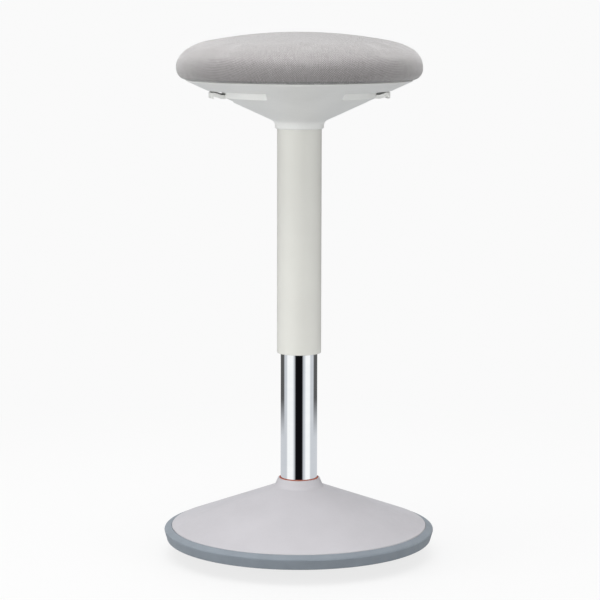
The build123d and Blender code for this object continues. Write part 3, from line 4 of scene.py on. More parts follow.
import bpy
import numpy as np
from mathutils import Euler, Matrix, Vector
from mathutils.bvhtree import BVHTree


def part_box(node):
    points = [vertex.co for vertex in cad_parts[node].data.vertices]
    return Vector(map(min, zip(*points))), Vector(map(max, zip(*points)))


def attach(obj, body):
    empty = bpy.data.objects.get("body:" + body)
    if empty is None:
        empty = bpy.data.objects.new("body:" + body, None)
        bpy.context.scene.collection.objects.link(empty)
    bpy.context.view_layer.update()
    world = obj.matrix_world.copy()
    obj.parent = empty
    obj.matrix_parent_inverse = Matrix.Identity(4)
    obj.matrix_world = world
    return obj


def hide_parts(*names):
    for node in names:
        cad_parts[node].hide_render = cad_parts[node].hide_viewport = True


# A padded stool on a gas-lift column, in metres, with +Z up and its front towards -Y.
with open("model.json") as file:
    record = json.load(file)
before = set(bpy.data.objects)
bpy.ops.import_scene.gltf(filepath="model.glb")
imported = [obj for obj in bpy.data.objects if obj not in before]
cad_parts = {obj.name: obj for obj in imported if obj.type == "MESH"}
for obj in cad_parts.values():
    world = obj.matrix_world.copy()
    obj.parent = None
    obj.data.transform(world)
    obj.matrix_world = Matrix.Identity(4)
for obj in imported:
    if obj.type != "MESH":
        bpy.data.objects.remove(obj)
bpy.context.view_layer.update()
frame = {"nodes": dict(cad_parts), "record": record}
NODES = frame["nodes"]
MM = 0.001
TINY = 1e-9
EVEN = (1.0, 1.0, 1.0)
FULL_WHITE = (1, 1, 1, 1)

# Camera, at the photograph's viewing angle: lens and sensor in millimetres, angles in degrees
CAMERA_LENS = 138.0
CAMERA_SENSOR = 36.0
CAMERA_PLACE = Vector((0.0012, -3.087, 0.781))
CAMERA_PITCH = 82.04
CAMERA_ROLL = 0.1
CAMERA_TURN = -4.0

# Rays that find the seat cover's outline, from the crown to a little outside the hem's inner edge
OUTLINE_POINTS = 600
OUTLINE_FIRST_ANGLE = 0.002
OUTLINE_HEM_MARGIN = 0.5 * MM
LEVEL_SLACK = 0.1 * MM

# Form of the cushion
CUSHION_CELL = 5 * MM
CUSHION_SHRINK = 0.7 * MM
CUSHION_FADE = 22 * MM
SHOULDER_FULLNESS = 2.2 * MM
SHOULDER_DROP = 25 * MM
SHOULDER_REACH = 16 * MM
ROLL_FULLNESS = 0.8 * MM
ROLL_LEAN = 1.5
PUCKER_DEPTH = 0.3 * MM
PUCKER_REACH = 26 * MM
PUCKER_COUNTS = (47, 61, 83)
PUCKER_STAGGER = 1.7
BOARD_GAP = 0.15 * MM

# Swelling of the cushion
SWELL_PRESSURE = 4.0
SWELL_FRAMES = 20
SWELL_LIMIT = 1.1 * MM
CLOTH_QUALITY = 6
CLOTH_MASS = 0.3
HELD_MARGIN = 2 * MM

# Weave of the cloth, with its slubs counted per metre
THREAD_PITCH = 1.5 * MM
SLUBS_ACROSS_YARN = 900
SLUBS_ALONG_YARN = 60
YARN_MOTTLE = 2.4 * MM

# Painted shade towards the cloth's hem, darkest in the crease at the tuck: places run from 0 to 1 over
# the last stretch above the tuck
HEM_SHADE_REACH = 50 * MM
LOW_SIDE_START = 0.18
LOW_SIDE_END = 0.46
LOW_SIDE_SHADE = 0.79
FOLD_START = 0.79
FOLD_END = 0.875
FOLD_SHADE = 0.1

# Floor: its colour for the camera and for bounced light, and the veil that thins its shadow out
FLOOR_SIZE = 60.0
FLOOR_DROP = 0.2 * MM
FLOOR_SHOWN = (0.86, 0.86, 0.86, 1)
FLOOR_BOUNCE = (0.38, 0.38, 0.38, 1)
SHADOW_VEIL = 0.82
SHADOW_START = 0.15
SHADOW_REACH = 1.1

# Strength of the world: behind the object, as light on it, and in its reflections
BACKGROUND = 0.955
AMBIENT = 0.55
MIRROR_STRENGTH = 1.1

# Soft boxes: the place, the point that it faces, the size, and the power in watts
LAMPS = {
    "overhead": ((-0.2, -0.2, 2.7), (0, 0, 0.4), 2.4, 58),
    "key": ((-2.8, -1.0, 0.6), (0, 0, 0.5), 1.0, 35),
    "fill": ((2.1, -2.1, 0.55), (0, 0, 0.5), 1.0, 19),
    "front": ((-0.3, -3.0, 0.4), (0, 0, 0.4), 0.8, 14),
    "back": ((0.1, 2.8, 1.2), (0, 0, 0.5), 1.2, 17),
}


# Material building blocks

EDGE_SAMPLES = 6


class NodeSheet:
    """A node tree, and short ways to add nodes to it."""

    def __init__(self, tree):
        self.tree = tree

    def plug(self, socket, value):
        """Link another node's output to a socket, or set the socket's own value."""
        if isinstance(value, bpy.types.NodeSocket):
            self.tree.links.new(value, socket)
        else:
            socket.default_value = value

    def add(self, kind, inputs, output=0, **settings):
        """A new node with its inputs and settings; the result is one of its outputs."""
        node = self.tree.nodes.new("ShaderNode" + kind)
        for key, value in settings.items():
            setattr(node, key, value)
        for key, value in inputs.items():
            self.plug(node.inputs[key], value)
        return node.outputs[output]

    def math(self, operation, *values):
        """The result of one operation on some values."""
        return self.add("Math", dict(enumerate(values)), operation=operation)

    def times(self, first, *others):
        """The product of some values."""
        for other in others:
            first = self.math("MULTIPLY", first, other)
        return first

    def wave(self, value, length):
        """A sine wave along a value, with the length of one full swing."""
        return self.math("SINE", self.times(value, 2 * math.pi / length))

    def axis(self, vector, letter):
        """One coordinate of a vector."""
        return self.add("SeparateXYZ", {"Vector": vector}, output=letter)

    def spread(self, value, low, high, start=0.3, end=0.7):
        """A stretch of a value, its middle unless told otherwise, made to run from low to high."""
        inputs = {"Value": value, "From Min": start, "From Max": end, "To Min": low, "To Max": high}
        return self.add("MapRange", inputs)

    def tint(self, factor, first, second):
        """A colour between two others."""
        return self.add("Mix", {0: factor, 6: first, 7: second}, output=2, data_type="RGBA")

    def shade(self, colour, *factors):
        """A colour times some grey values."""
        inputs = {0: 1.0, 6: colour, 7: self.times(*factors)}
        return self.add("Mix", inputs, output=2, data_type="RGBA", blend_type="MULTIPLY")


class Look(NodeSheet):
    """A procedural material with one main shader."""

    def __init__(self, name, **sockets):
        self.material = bpy.data.materials.new(name)
        self.material.use_nodes = True
        super().__init__(self.material.node_tree)
        self.shader = self.tree.nodes["Principled BSDF"]
        for socket, value in sockets.items():
            self.feed(socket.replace("_", " "), value)

    def feed(self, socket, value):
        """Set a socket of the main shader, or link a node's output to it."""
        self.plug(self.shader.inputs[socket], value)

    def place(self, stretch=EVEN, spot=None):
        """A spot, or else the place on the piece in metres, squeezed along the axes."""
        if spot is None:
            spot = self.add("TexCoord", {}, output="Object")
        return self.add("Mapping", {"Vector": spot, "Scale": stretch})

    def noise(self, size, detail=3.0, stretch=EVEN, spot=None):
        """Cloudy values about 0.5, in patches of a size."""
        inputs = {"Vector": self.place(stretch, spot), "Scale": 1 / size, "Detail": detail}
        return self.add("TexNoise", inputs)

    def drift(self, size, amount, detail=3.0, spot=None):
        """Grey values about 1, up or down by an amount, in patches of a size."""
        return self.spread(self.noise(size, detail, spot=spot), 1 - amount, 1 + amount)

    def vary_roughness(self, size, low, high):
        """Roughness that drifts between two values, in patches of a size."""
        self.feed("Roughness", self.spread(self.noise(size), low, high))

    def bump(self, height, depth, normal=None):
        """Relief from heights of 0 to 1, with its depth in metres, on top of another normal."""
        inputs = {"Height": height, "Distance": depth, "Strength": 1.0}
        if normal is not None:
            inputs["Normal"] = normal
        return self.add("Bump", inputs)

    def soft_edges(self, radius):
        """Normals that round the piece's sharp edges over."""
        return self.add("Bevel", {"Radius": radius}, samples=EDGE_SAMPLES)

    def edge_mask(self, rounded):
        """1 on sharp edges and 0 on the faces between them, for the enamel's edge wear and for painted
        edge highlights.
        """
        flat = self.add("NewGeometry", {}, output="Normal")
        agree = self.add("VectorMath", {0: rounded, 1: flat}, output="Value", operation="DOT_PRODUCT")
        return self.spread(agree, 1.0, 0.0, start=0.9, end=0.995)

    def painted_edge_highlight(self, rounded, gain):
        """A grey value of 1 on the faces that rises by a gain along the sharp edges: a painted highlight.
        """
        return self.spread(self.edge_mask(rounded), 1.0, 1.0 + gain, start=0.0, end=1.0)


def rgb(red, green, blue):
    """A colour as a shader takes it, from the 0 to 255 values that a screen shows."""
    def linear(value):
        share = value / 255
        return share / 12.92 if share <= 0.04045 else ((share + 0.055) / 1.055) ** 2.4
    return (linear(red), linear(green), linear(blue), 1.0)


# Materials

# Patterns, as a length or as counts per metre along the axes
TURNING_LINES = (60, 60, 3200)
WOOD_GRAIN = (14, 260, 260)
PLY_PITCH = 3 * MM
FOAM_PORE = 1.2 * MM

# Colours of the metals and the enamel, as a shader takes them
CHROME_DARK = (0.84, 0.855, 0.87, 1)
CHROME_LIGHT = (0.87, 0.88, 0.89, 1)
STEEL_DARK = (0.36, 0.365, 0.375, 1)
STEEL_LIGHT = (0.56, 0.565, 0.57, 1)
BRASS_DARK = (0.46, 0.31, 0.11, 1)
BRASS_LIGHT = (0.62, 0.44, 0.18, 1)
IRON_DARK = (0.022, 0.022, 0.023, 1)
IRON_LIGHT = (0.06, 0.058, 0.056, 1)
ENAMEL = (0.012, 0.012, 0.013, 1)
ENAMEL_WORN = (0.09, 0.09, 0.092, 1)


def woven_fabric(name):
    """Melange cloth: light warp over darker weft, with slubs, fuzz, a soft sheen, and painted shade
    darkest in the crease at its hem.
    """
    look = Look(name, Roughness=0.92, Sheen_Weight=1.0, Sheen_Roughness=0.35, Specular_IOR_Level=0.2)
    flat = look.add("Attribute", {}, output="Vector", attribute_name="cloth_flat")
    near_hem = look.add("Attribute", {}, output="Fac", attribute_name="painted_hem_shade")

    warp_wave = look.wave(look.axis(flat, "X"), length=2 * THREAD_PITCH)
    weft_wave = look.wave(look.axis(flat, "Y"), length=2 * THREAD_PITCH)
    over = look.spread(look.times(warp_wave, weft_wave), 0, 1, start=-0.25, end=0.25)
    warp_slub = look.noise(size=1.0, stretch=(SLUBS_ACROSS_YARN, SLUBS_ALONG_YARN, 1), spot=flat)
    weft_slub = look.noise(size=1.0, stretch=(SLUBS_ALONG_YARN, SLUBS_ACROSS_YARN, 1), spot=flat)
    warp = look.tint(look.spread(warp_slub, 0, 1), rgb(158, 155, 155), rgb(190, 187, 187))
    weft = look.tint(look.spread(weft_slub, 0, 1), rgb(120, 117, 117), rgb(155, 152, 152))
    cloth = look.tint(over, weft, warp)

    patches = look.drift(size=45 * MM, amount=0.015)
    mottle = look.drift(size=YARN_MOTTLE, amount=0.07, detail=1.0, spot=flat)
    # Painted shade: the cloth is darkened on its low side towards the hem, where less light falls
    painted_low_shade = look.spread(near_hem, 1.0, LOW_SIDE_SHADE, start=LOW_SIDE_START, end=LOW_SIDE_END)
    # Painted shadow: the cloth is made darkest in the crease where it tucks in against the shell's rim
    painted_crease_shadow = look.spread(near_hem, 1.0, FOLD_SHADE, start=FOLD_START, end=FOLD_END)
    look.feed("Base Color", look.shade(cloth, patches, mottle, painted_low_shade, painted_crease_shadow))

    threads = {0: over, 2: look.math("ABSOLUTE", weft_wave), 3: look.math("ABSOLUTE", warp_wave)}
    weave = look.bump(look.add("Mix", threads, data_type="FLOAT"), depth=0.25 * MM)
    fuzz = look.noise(size=0.5 * MM, detail=4.0)
    look.feed("Normal", look.bump(fuzz, depth=0.12 * MM, normal=weave))
    return look.material


def moulded_plastic(name, colour, roughness=0.42, grain=0.7 * MM, edge=0.5 * MM):
    """Injection moulded plastic: a fine eroded grain, slight flow clouds, and softened edges with a
    painted highlight along them.
    """
    look = Look(name, Specular_IOR_Level=0.45)
    clouds = look.drift(size=60 * MM, amount=0.03, detail=2.0)
    specks = look.drift(size=1.6 * MM, amount=0.015)
    rounded = look.soft_edges(edge)
    # Painted highlight: the colour is lighter along the sharp edges
    look.feed("Base Color", look.shade(colour, clouds, specks, look.painted_edge_highlight(rounded, gain=0.07)))
    look.vary_roughness(size=9 * MM, low=roughness - 0.05, high=roughness + 0.06)
    look.feed("Normal", look.bump(look.noise(grain), depth=0.012 * MM, normal=rounded))
    return look.material


def powder_coat(name, colour):
    """Baked powder paint on steel: orange peel under a faint gloss."""
    look = Look(name, Specular_IOR_Level=0.5, Coat_Weight=0.12, Coat_Roughness=0.25)
    clouds = look.drift(size=80 * MM, amount=0.025, detail=2.0)
    peel = look.noise(size=2.2 * MM, detail=2.0)
    look.feed("Base Color", look.shade(colour, clouds))
    look.vary_roughness(size=6 * MM, low=0.34, high=0.44)
    look.feed("Normal", look.bump(peel, depth=0.03 * MM, normal=look.soft_edges(radius=0.6 * MM)))
    return look.material


def polished_chrome(name):
    """Hard chrome: a clear mirror with faint wipe marks round the tube."""
    look = Look(name, Metallic=1.0)
    haze = look.noise(size=30 * MM, stretch=(1, 1, 4))
    wipes = look.noise(size=14 * MM, detail=4.0, stretch=(1, 1, 9))
    look.feed("Base Color", look.tint(look.spread(haze, 0, 1), CHROME_DARK, CHROME_LIGHT))
    look.feed("Roughness", look.spread(wipes, low=0.02, high=0.045))
    return look.material


def moulded_rubber(name, colour, roughness=0.62):
    """Soft rubber: a pebbled skin with a patchy bloom, and softened edges with a painted highlight along
    them.
    """
    look = Look(name, Specular_IOR_Level=0.35, Sheen_Weight=0.08, Sheen_Roughness=0.5)
    bloom = look.drift(size=35 * MM, amount=0.06, detail=4.0)
    pebbles = look.noise(size=1.1 * MM)
    rounded = look.soft_edges(radius=0.8 * MM)
    # Painted highlight: the colour is lighter along the sharp edges
    look.feed("Base Color", look.shade(colour, bloom, look.painted_edge_highlight(rounded, gain=0.12)))
    look.vary_roughness(size=12 * MM, low=roughness - 0.07, high=roughness + 0.08)
    look.feed("Normal", look.bump(pebbles, depth=0.035 * MM, normal=rounded))
    return look.material


def turned_metal(name, dark, light, roughness=0.3):
    """Machined metal with fine turning lines round its axis."""
    look = Look(name, Metallic=1.0)
    lines = look.noise(size=1.0, detail=4.0, stretch=TURNING_LINES)
    look.feed("Base Color", look.tint(look.spread(lines, 0, 1), dark, light))
    look.feed("Roughness", look.spread(lines, low=roughness - 0.08, high=roughness + 0.1))
    look.feed("Normal", look.bump(lines, depth=0.006 * MM, normal=look.soft_edges(radius=0.3 * MM)))
    return look.material


def black_enamel(name):
    """Black stoved paint on pressed steel, greyed a little at its edges."""
    look = Look(name, Specular_IOR_Level=0.5)
    chips = look.spread(look.noise(size=4 * MM, detail=4.0), 0, 1)
    ripples = look.noise(size=1.8 * MM)
    rounded = look.soft_edges(radius=0.5 * MM)
    worn = look.times(look.edge_mask(rounded), chips)
    look.feed("Base Color", look.tint(worn, ENAMEL, ENAMEL_WORN))
    look.vary_roughness(size=8 * MM, low=0.32, high=0.46)
    look.feed("Normal", look.bump(ripples, depth=0.03 * MM, normal=rounded))
    return look.material


def cast_iron(name):
    """Rough sand casting under a thin dark wash."""
    look = Look(name, Metallic=0.6)
    sand = look.noise(size=2.5 * MM, detail=6.0)
    look.feed("Base Color", look.tint(look.spread(sand, 0, 1), IRON_DARK, IRON_LIGHT))
    look.vary_roughness(size=15 * MM, low=0.55, high=0.75)
    look.feed("Normal", look.bump(sand, depth=0.35 * MM))
    return look.material


def plywood(name):
    """Birch ply: long grain on its faces and thin plies at its edge."""
    look = Look(name, Specular_IOR_Level=0.3, Roughness=0.62)
    grain = look.noise(size=1.0, detail=5.0, stretch=WOOD_GRAIN)
    plies = look.wave(look.axis(look.place(), "Z"), length=PLY_PITCH)
    wood = look.tint(look.spread(grain, 0, 1), rgb(196, 160, 112), rgb(222, 192, 148))
    look.feed("Base Color", look.shade(wood, look.spread(plies, 0.86, 1.0, start=-0.4, end=0.4)))
    look.feed("Normal", look.bump(grain, depth=0.05 * MM))
    return look.material


def open_foam(name):
    """Open-cell foam with small round pores."""
    look = Look(name, Roughness=0.95, Specular_IOR_Level=0.1)
    pores = look.add("TexVoronoi", {"Vector": look.place(), "Scale": 1 / FOAM_PORE}, output="Distance")
    look.feed("Base Color", look.tint(pores, rgb(196, 180, 120), rgb(236, 224, 176)))
    look.feed("Normal", look.bump(pores, depth=0.4 * MM))
    return look.material


LOOKS = {
    "seat_fabric": woven_fabric("seat_fabric"),
    "seat_foam": open_foam("seat_foam"),
    "shell_plastic": moulded_plastic("shell_plastic", rgb(225, 226, 224)),
    "paddle_plastic": moulded_plastic("paddle_plastic", rgb(230, 231, 228), edge=0.9 * MM),
    "sleeve_paint": powder_coat("sleeve_paint", rgb(216, 216, 210)),
    "chrome_tube": polished_chrome("chrome_tube"),
    "rod_chrome": polished_chrome("rod_chrome"),
    "cover_plastic": moulded_plastic("cover_plastic", rgb(188, 186, 190), grain=0.9 * MM),
    "rim_rubber": moulded_rubber("rim_rubber", rgb(130, 138, 146)),
    "tread_rubber": moulded_rubber("tread_rubber", rgb(66, 70, 74), roughness=0.74),
    "seal_rubber": moulded_rubber("seal_rubber", rgb(34, 30, 29), roughness=0.55),
    "gasket_rubber": moulded_rubber("gasket_rubber", rgb(168, 84, 60), roughness=0.6),
    "pan_plastic": moulded_plastic("pan_plastic", rgb(58, 60, 62), roughness=0.5),
    "black_plastic": moulded_plastic("black_plastic", rgb(30, 30, 31), roughness=0.45),
    "bearing_plastic": moulded_plastic("bearing_plastic", rgb(226, 223, 212), roughness=0.38),
    "bearing_brass": turned_metal("bearing_brass", BRASS_DARK, BRASS_LIGHT, roughness=0.32),
    "plain_steel": turned_metal("plain_steel", STEEL_DARK, STEEL_LIGHT),
    "black_steel": black_enamel("black_steel"),
    "cast_ballast": cast_iron("cast_ballast"),
    "board_wood": plywood("board_wood"),
}


def dress_nodes():
    """Give every CAD node the look of its slot in the record."""
    for entry in frame["record"]["subparts"]:
        materials = NODES[entry["node"]].data.materials
        materials.clear()
        materials.append(LOOKS[entry["material_slot"]])


# Mesh helpers

def new_piece(name, points, faces):
    """A smooth mesh object in the scene."""
    mesh = bpy.data.meshes.new(name)
    mesh.from_pydata([tuple(p) for p in points], [], faces)
    mesh.polygons.foreach_set("use_smooth", [True] * len(mesh.polygons))
    piece = bpy.data.objects.new(name, mesh)
    bpy.context.scene.collection.objects.link(piece)
    return piece


def vertex_array(mesh):
    """The mesh's points, one in each row."""
    flat = np.zeros(len(mesh.vertices) * 3)
    mesh.vertices.foreach_get("co", flat)
    return flat.reshape(-1, 3)


def set_vertices(mesh, points):
    """Move the mesh's points to new places."""
    mesh.vertices.foreach_set("co", points.astype(np.float32).ravel())
    mesh.update()


def evaluated(piece):
    """The piece with its modifiers worked out."""
    return piece.evaluated_get(bpy.context.evaluated_depsgraph_get())


def disc_grid(cells):
    """Points of a square grid drawn into a round disc of radius 1, and its square faces."""
    ticks = np.linspace(-1, 1, cells + 1)
    x, y = (a.ravel() for a in np.meshgrid(ticks, ticks))
    disc = np.stack((x * np.sqrt(1 - y**2 / 2), y * np.sqrt(1 - x**2 / 2)), axis=1)
    row = cells + 1
    corners = [i * row + j for i in range(cells) for j in range(cells)]
    faces = [(c, c + 1, c + 1 + row, c + row) for c in corners]
    return disc, faces


def rim_loop(faces):
    """The skin's free edge as a chain of points, in the direction of its faces."""
    following = {}
    edges = {(f[i], f[(i + 1) % len(f)]) for f in faces for i in range(len(f))}
    for a, b in edges:
        if (b, a) not in edges:
            following[a] = b
    chain = [min(following)]
    while following[chain[-1]] != chain[0]:
        chain.append(following[chain[-1]])
    return chain


# Cushion

def outline_points():
    """(radius, height) points round the outside of the seat cover, from its crown to its hem."""
    low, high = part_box("seat_cover")
    cover = NODES["seat_cover"].data
    hem = [v.co for v in cover.vertices if v.co.z < low.z + LEVEL_SLACK]
    hem_radius = min(math.hypot(spot.x, spot.y) for spot in hem)
    tree = BVHTree.FromPolygons([v.co for v in cover.vertices], [p.vertices for p in cover.polygons])
    middle = Vector((0, 0, (low.z + high.z) / 2))
    last_angle = math.atan2(hem_radius + OUTLINE_HEM_MARGIN, low.z - middle.z)
    points = []
    for angle in np.linspace(OUTLINE_FIRST_ANGLE, last_angle, OUTLINE_POINTS):
        ray = Vector((math.sin(angle), 0, math.cos(angle)))
        hit = tree.ray_cast(middle + ray, -ray)[0]
        points.append((hit.x, hit.z))
    points[0] = (0.0, high.z)
    return np.array(points)


class CoverOutline:
    """The seat cover's outline from its crown to its hem, with lengths measured along the cloth."""

    def __init__(self):
        self.radius, self.height = outline_points().T
        steps = np.hypot(np.diff(self.radius), np.diff(self.height))
        self.length = np.concatenate(([0.0], np.cumsum(steps)))
        self.total = self.length[-1]
        self.shoulder = self.length[np.argmin(abs(self.height - self.height[0] + SHOULDER_DROP))]
        self.widest = self.length[np.argmax(self.radius)]
        self.tuck = self.length[np.argmax(self.height < self.height.min() + LEVEL_SLACK)]

    def moved_in(self, place, inset):
        """Radius and height at places along the cloth, an inset away from the outline."""
        def at_place(values):
            return np.interp(place, self.length, values)
        slope_r = at_place(np.gradient(self.radius, self.length))
        slope_z = at_place(np.gradient(self.height, self.length))
        return at_place(self.radius) + inset * slope_z, at_place(self.height) - inset * slope_r

    def nearest(self, points):
        """Places along the cloth of the outline points that are nearest to some points."""
        radius = np.hypot(points[:, 0], points[:, 1])
        gap = (radius[:, None] - self.radius) ** 2 + (points[:, 2, None] - self.height) ** 2
        return self.length[np.argmin(gap, axis=1)]


def fullness(outline, place):
    """How far the padding stands out past the cover, at its shoulder and in its lower roll."""
    at_shoulder = np.exp(-(((place - outline.shoulder) / SHOULDER_REACH) ** 2))
    under = np.clip((place - outline.widest) / (outline.tuck - outline.widest), 0, 1)
    in_roll = np.sin(math.pi * under**ROLL_LEAN) ** 2
    return SHOULDER_FULLNESS * at_shoulder + ROLL_FULLNESS * in_roll


def swell(piece, pinned, freedom):
    """Blow the skin up with cloth pressure while its hem is held, and keep the move where it is free."""
    held = piece.vertex_groups.new(name="held")
    held.add([int(i) for i in np.flatnonzero(pinned)], 1.0, "REPLACE")
    cloth = piece.modifiers.new("swell", "CLOTH")
    cloth.settings.quality = CLOTH_QUALITY
    cloth.settings.mass = CLOTH_MASS
    cloth.settings.use_pressure = True
    cloth.settings.uniform_pressure_force = SWELL_PRESSURE
    cloth.settings.effector_weights.gravity = 0.0
    cloth.settings.vertex_group_mass = held.name
    scene = bpy.context.scene
    for step in range(1, SWELL_FRAMES + 1):
        scene.frame_set(step)
    start = vertex_array(piece.data)
    move = vertex_array(evaluated(piece).to_mesh()) - start
    reach = np.linalg.norm(move, axis=1, keepdims=True)
    move *= np.minimum(1.0, SWELL_LIMIT / np.maximum(reach, TINY)) * freedom[:, None]
    piece.modifiers.remove(cloth)
    scene.frame_set(1)
    set_vertices(piece.data, start + move)


def divide(piece):
    """Apply one subdivision."""
    piece.modifiers.new("divide", "SUBSURF").levels = 1
    bpy.context.view_layer.update()
    finer = bpy.data.meshes.new_from_object(evaluated(piece))
    piece.modifiers.clear()
    piece.data = finer


def pucker(mesh, outline):
    """Small gathers where the cloth is drawn under the board."""
    points = vertex_array(mesh)
    radius = np.hypot(points[:, 0], points[:, 1])
    angle = np.arctan2(points[:, 1], points[:, 0])
    half = PUCKER_REACH / 2
    weight = np.exp(-(((outline.nearest(points) - outline.widest - half) / half) ** 2))
    waves = [np.sin(count * angle + index * PUCKER_STAGGER) for index, count in enumerate(PUCKER_COUNTS)]
    shift = 1 + PUCKER_DEPTH * weight * np.mean(waves, axis=0) / np.maximum(radius, TINY)
    points[:, 0] *= shift
    points[:, 1] *= shift
    set_vertices(mesh, points)


def close_underside(piece, board):
    """Turn the hem in over the edge of the board and close the skin above the board."""
    low, high = board
    points = vertex_array(piece.data)
    faces = [tuple(p.vertices) for p in piece.data.polygons]
    rim = rim_loop(faces)
    hem_radius = math.hypot(*points[rim[0]][:2])
    inner_radius = high.x + BOARD_GAP
    rings = (
        (hem_radius, low.z - BOARD_GAP),
        (inner_radius, low.z - BOARD_GAP),
        (inner_radius, high.z + BOARD_GAP),
    )
    extra = []
    before = rim
    for radius, height in rings:
        first = len(points) + len(extra)
        ring = list(range(first, first + len(rim)))
        for x, y, _ in points[rim]:
            share = radius / math.hypot(x, y)
            extra.append((x * share, y * share, height))
        for here in range(len(rim)):
            after = (here + 1) % len(rim)
            faces.append((before[after], before[here], ring[here], ring[after]))
        before = ring
    faces.append(tuple(reversed(before)))
    name = piece.name
    bpy.data.objects.remove(piece)
    return new_piece(name, list(points) + extra, faces)


def mark_cloth(mesh, outline):
    """Store where each point lies on the flat cloth, and how near it is to the tuck."""
    points = vertex_array(mesh)
    along = outline.nearest(points)
    angle = np.arctan2(points[:, 1], points[:, 0])
    flat = np.column_stack((along * np.cos(angle), along * np.sin(angle), np.zeros(len(along))))
    cloth_flat = mesh.attributes.new("cloth_flat", "FLOAT_VECTOR", "POINT")
    cloth_flat.data.foreach_set("vector", flat.astype(np.float32).ravel())
    # How near the tuck each point is, which places the cloth's painted shade and painted crease shadow
    near_hem = np.clip(1 - (outline.tuck - along) / HEM_SHADE_REACH, 0, 1)
    painted_hem_shade = mesh.attributes.new("painted_hem_shade", "FLOAT", "POINT")
    painted_hem_shade.data.foreach_set("value", near_hem.astype(np.float32))


def make_cushion():
    """The padded seat: one skin over the foam, drawn under the board, swollen by simulation."""
    outline = CoverOutline()
    disc, faces = disc_grid(2 * round(outline.total / CUSHION_CELL))
    share = np.hypot(disc[:, 0], disc[:, 1])
    place = share * outline.total
    freedom = np.clip((outline.widest - place) / CUSHION_FADE, 0, 1)
    radius, height = outline.moved_in(place, CUSHION_SHRINK * freedom - fullness(outline, place))
    outward = disc / np.maximum(share, TINY)[:, None]
    points = np.column_stack((outward * radius[:, None], height))
    piece = new_piece("seat_cushion", points, faces)
    swell(piece, place > outline.tuck - HELD_MARGIN, freedom)
    divide(piece)
    pucker(piece.data, outline)
    piece = close_underside(piece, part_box("seat_board"))
    mark_cloth(piece.data, outline)
    piece.data.materials.append(LOOKS["seat_fabric"])
    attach(piece, "seat")
    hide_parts("seat_cover", "seat_foam")


# Studio

# What the chrome mirrors: white soft boxes and dark flags round the stool, in a grey room. Each runs
# between two bearings, in degrees from the camera. The flags at the sides hang clear of the floor, so the
# tube's foot doesn't mirror them: they end between two slopes of the mirrored ray.
ROOM = (0.60, 0.62, 0.65)
SOFT_BOX = (0.96, 0.97, 0.97)
SIDE_FLAG = (0.10, 0.10, 0.10)
FRONT_FLAG = (0.005, 0.005, 0.006)
STANDING_SCREENS = (
    (-75, -40, SOFT_BOX),
    (-20, 20, FRONT_FLAG),
    (45, 70, SOFT_BOX),
)
HANGING_SCREENS = (
    (-160, -110, SIDE_FLAG),
    (110, 160, SIDE_FLAG),
)
SCREEN_EDGE = 10
FLAGS_END = -0.181
FLAGS_GONE = -0.197


def screens_ramp(sheet, share, screens):
    """The room with its screens, round the horizon, as a colour ramp."""
    ramp = sheet.add("ValToRGB", {"Fac": share})
    stops = ramp.node.color_ramp.elements
    for behind in stops:
        behind.color = (*ROOM, 1.0)
    for first, last, tone in screens:
        edges = ((first - SCREEN_EDGE, ROOM), (first, tone), (last, tone), (last + SCREEN_EDGE, ROOM))
        for degrees, colour in edges:
            stops.new((degrees + 180) / 360).color = (*colour, 1.0)
    return ramp


def make_world():
    """A pale studio: even light, a pale background, and screens for the chrome to mirror."""
    world = bpy.data.worlds.new("studio")
    bpy.context.scene.world = world
    world.use_nodes = True
    sheet = NodeSheet(world.node_tree)
    heading = sheet.add("TexCoord", {}, output="Generated")
    turned = sheet.add("VectorRotate", {"Vector": heading, "Angle": -math.radians(CAMERA_TURN)})
    forward = sheet.times(sheet.axis(turned, "Y"), -1.0)
    bearing = sheet.math("ARCTAN2", sheet.axis(turned, "X"), forward)
    share = sheet.spread(bearing, 0.0, 1.0, start=-math.pi, end=math.pi)
    lower = sheet.spread(sheet.axis(turned, "Z"), 1.0, 0.0, start=FLAGS_GONE, end=FLAGS_END)
    with_flags = screens_ramp(sheet, share, STANDING_SCREENS + HANGING_SCREENS)
    screens = sheet.tint(lower, with_flags, screens_ramp(sheet, share, STANDING_SCREENS))
    plain = sheet.add("Background", {"Color": FULL_WHITE, "Strength": AMBIENT})
    mirrored = sheet.add("Background", {"Color": screens, "Strength": MIRROR_STRENGTH})
    backdrop = sheet.add("Background", {"Color": FULL_WHITE, "Strength": BACKGROUND})
    glossy = sheet.add("LightPath", {}, output="Is Glossy Ray")
    camera = sheet.add("LightPath", {}, output="Is Camera Ray")
    lit = sheet.add("MixShader", {0: glossy, 1: plain, 2: mirrored})
    seen = sheet.add("MixShader", {0: camera, 1: lit, 2: backdrop})
    sheet.plug(world.node_tree.nodes["World Output"].inputs["Surface"], seen)


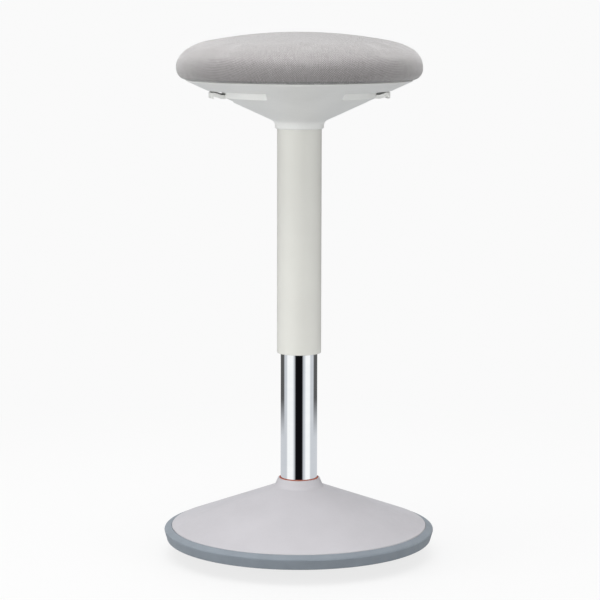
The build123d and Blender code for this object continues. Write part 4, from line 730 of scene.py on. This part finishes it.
def make_floor():
    """A pale floor that fades into the background, keeps a soft shadow and isn't seen from below."""
    edge = FLOOR_SIZE / 2
    corners = [(-edge, -edge, 0), (edge, -edge, 0), (edge, edge, 0), (-edge, edge, 0)]
    floor = new_piece("floor", corners, [(0, 1, 2, 3)])
    floor.location.z = -FLOOR_DROP
    look = Look("floor", Roughness=0.9, Specular_IOR_Level=0.1)
    camera = look.add("LightPath", {}, output="Is Camera Ray")
    look.feed("Base Color", look.tint(camera, FLOOR_BOUNCE, FLOOR_SHOWN))
    away = look.add("VectorMath", {0: look.place()}, output="Value", operation="LENGTH")
    fade = look.spread(away, SHADOW_VEIL, 1.0, start=SHADOW_START, end=SHADOW_REACH)
    glow = look.add("Emission", {"Color": FULL_WHITE, "Strength": BACKGROUND})
    faded = {0: look.times(fade, camera), 1: look.shader.outputs["BSDF"], 2: glow}
    above = look.add("MixShader", faded)
    beneath = look.times(look.add("NewGeometry", {}, output="Backfacing"), camera)
    seen = look.add("MixShader", {0: beneath, 1: above, 2: look.add("BsdfTransparent", {})})
    look.plug(look.tree.nodes["Material Output"].inputs["Surface"], seen)
    floor.data.materials.append(look.material)
    floor.visible_glossy = False


def make_lamps():
    """Square soft boxes, each facing a point, hidden from reflections."""
    for name, (place, target, size, power) in LAMPS.items():
        lamp = bpy.data.lights.new(name, "AREA")
        lamp.size = size
        lamp.energy = power
        holder = bpy.data.objects.new(name, lamp)
        holder.location = place
        holder.rotation_euler = (Vector(target) - Vector(place)).to_track_quat("-Z", "Y").to_euler()
        holder.visible_glossy = False
        bpy.context.scene.collection.objects.link(holder)


def make_camera():
    """The camera, at the photograph's viewing angle."""
    data = bpy.data.cameras.new("camera")
    data.lens = CAMERA_LENS
    data.sensor_width = CAMERA_SENSOR
    camera = bpy.data.objects.new("camera", data)
    turn = Euler((math.radians(CAMERA_PITCH), 0, 0)).to_matrix()
    roll = Matrix.Rotation(math.radians(CAMERA_ROLL), 3, "Z")
    swing = Matrix.Rotation(math.radians(CAMERA_TURN), 4, "Z")
    camera.matrix_world = swing @ Matrix.Translation(CAMERA_PLACE) @ (turn @ roll).to_4x4()
    bpy.context.scene.collection.objects.link(camera)
    bpy.context.scene.camera = camera


dress_nodes()
make_cushion()
make_world()
make_floor()
make_lamps()
make_camera()
bpy.context.scene.view_settings.view_transform = "Standard"
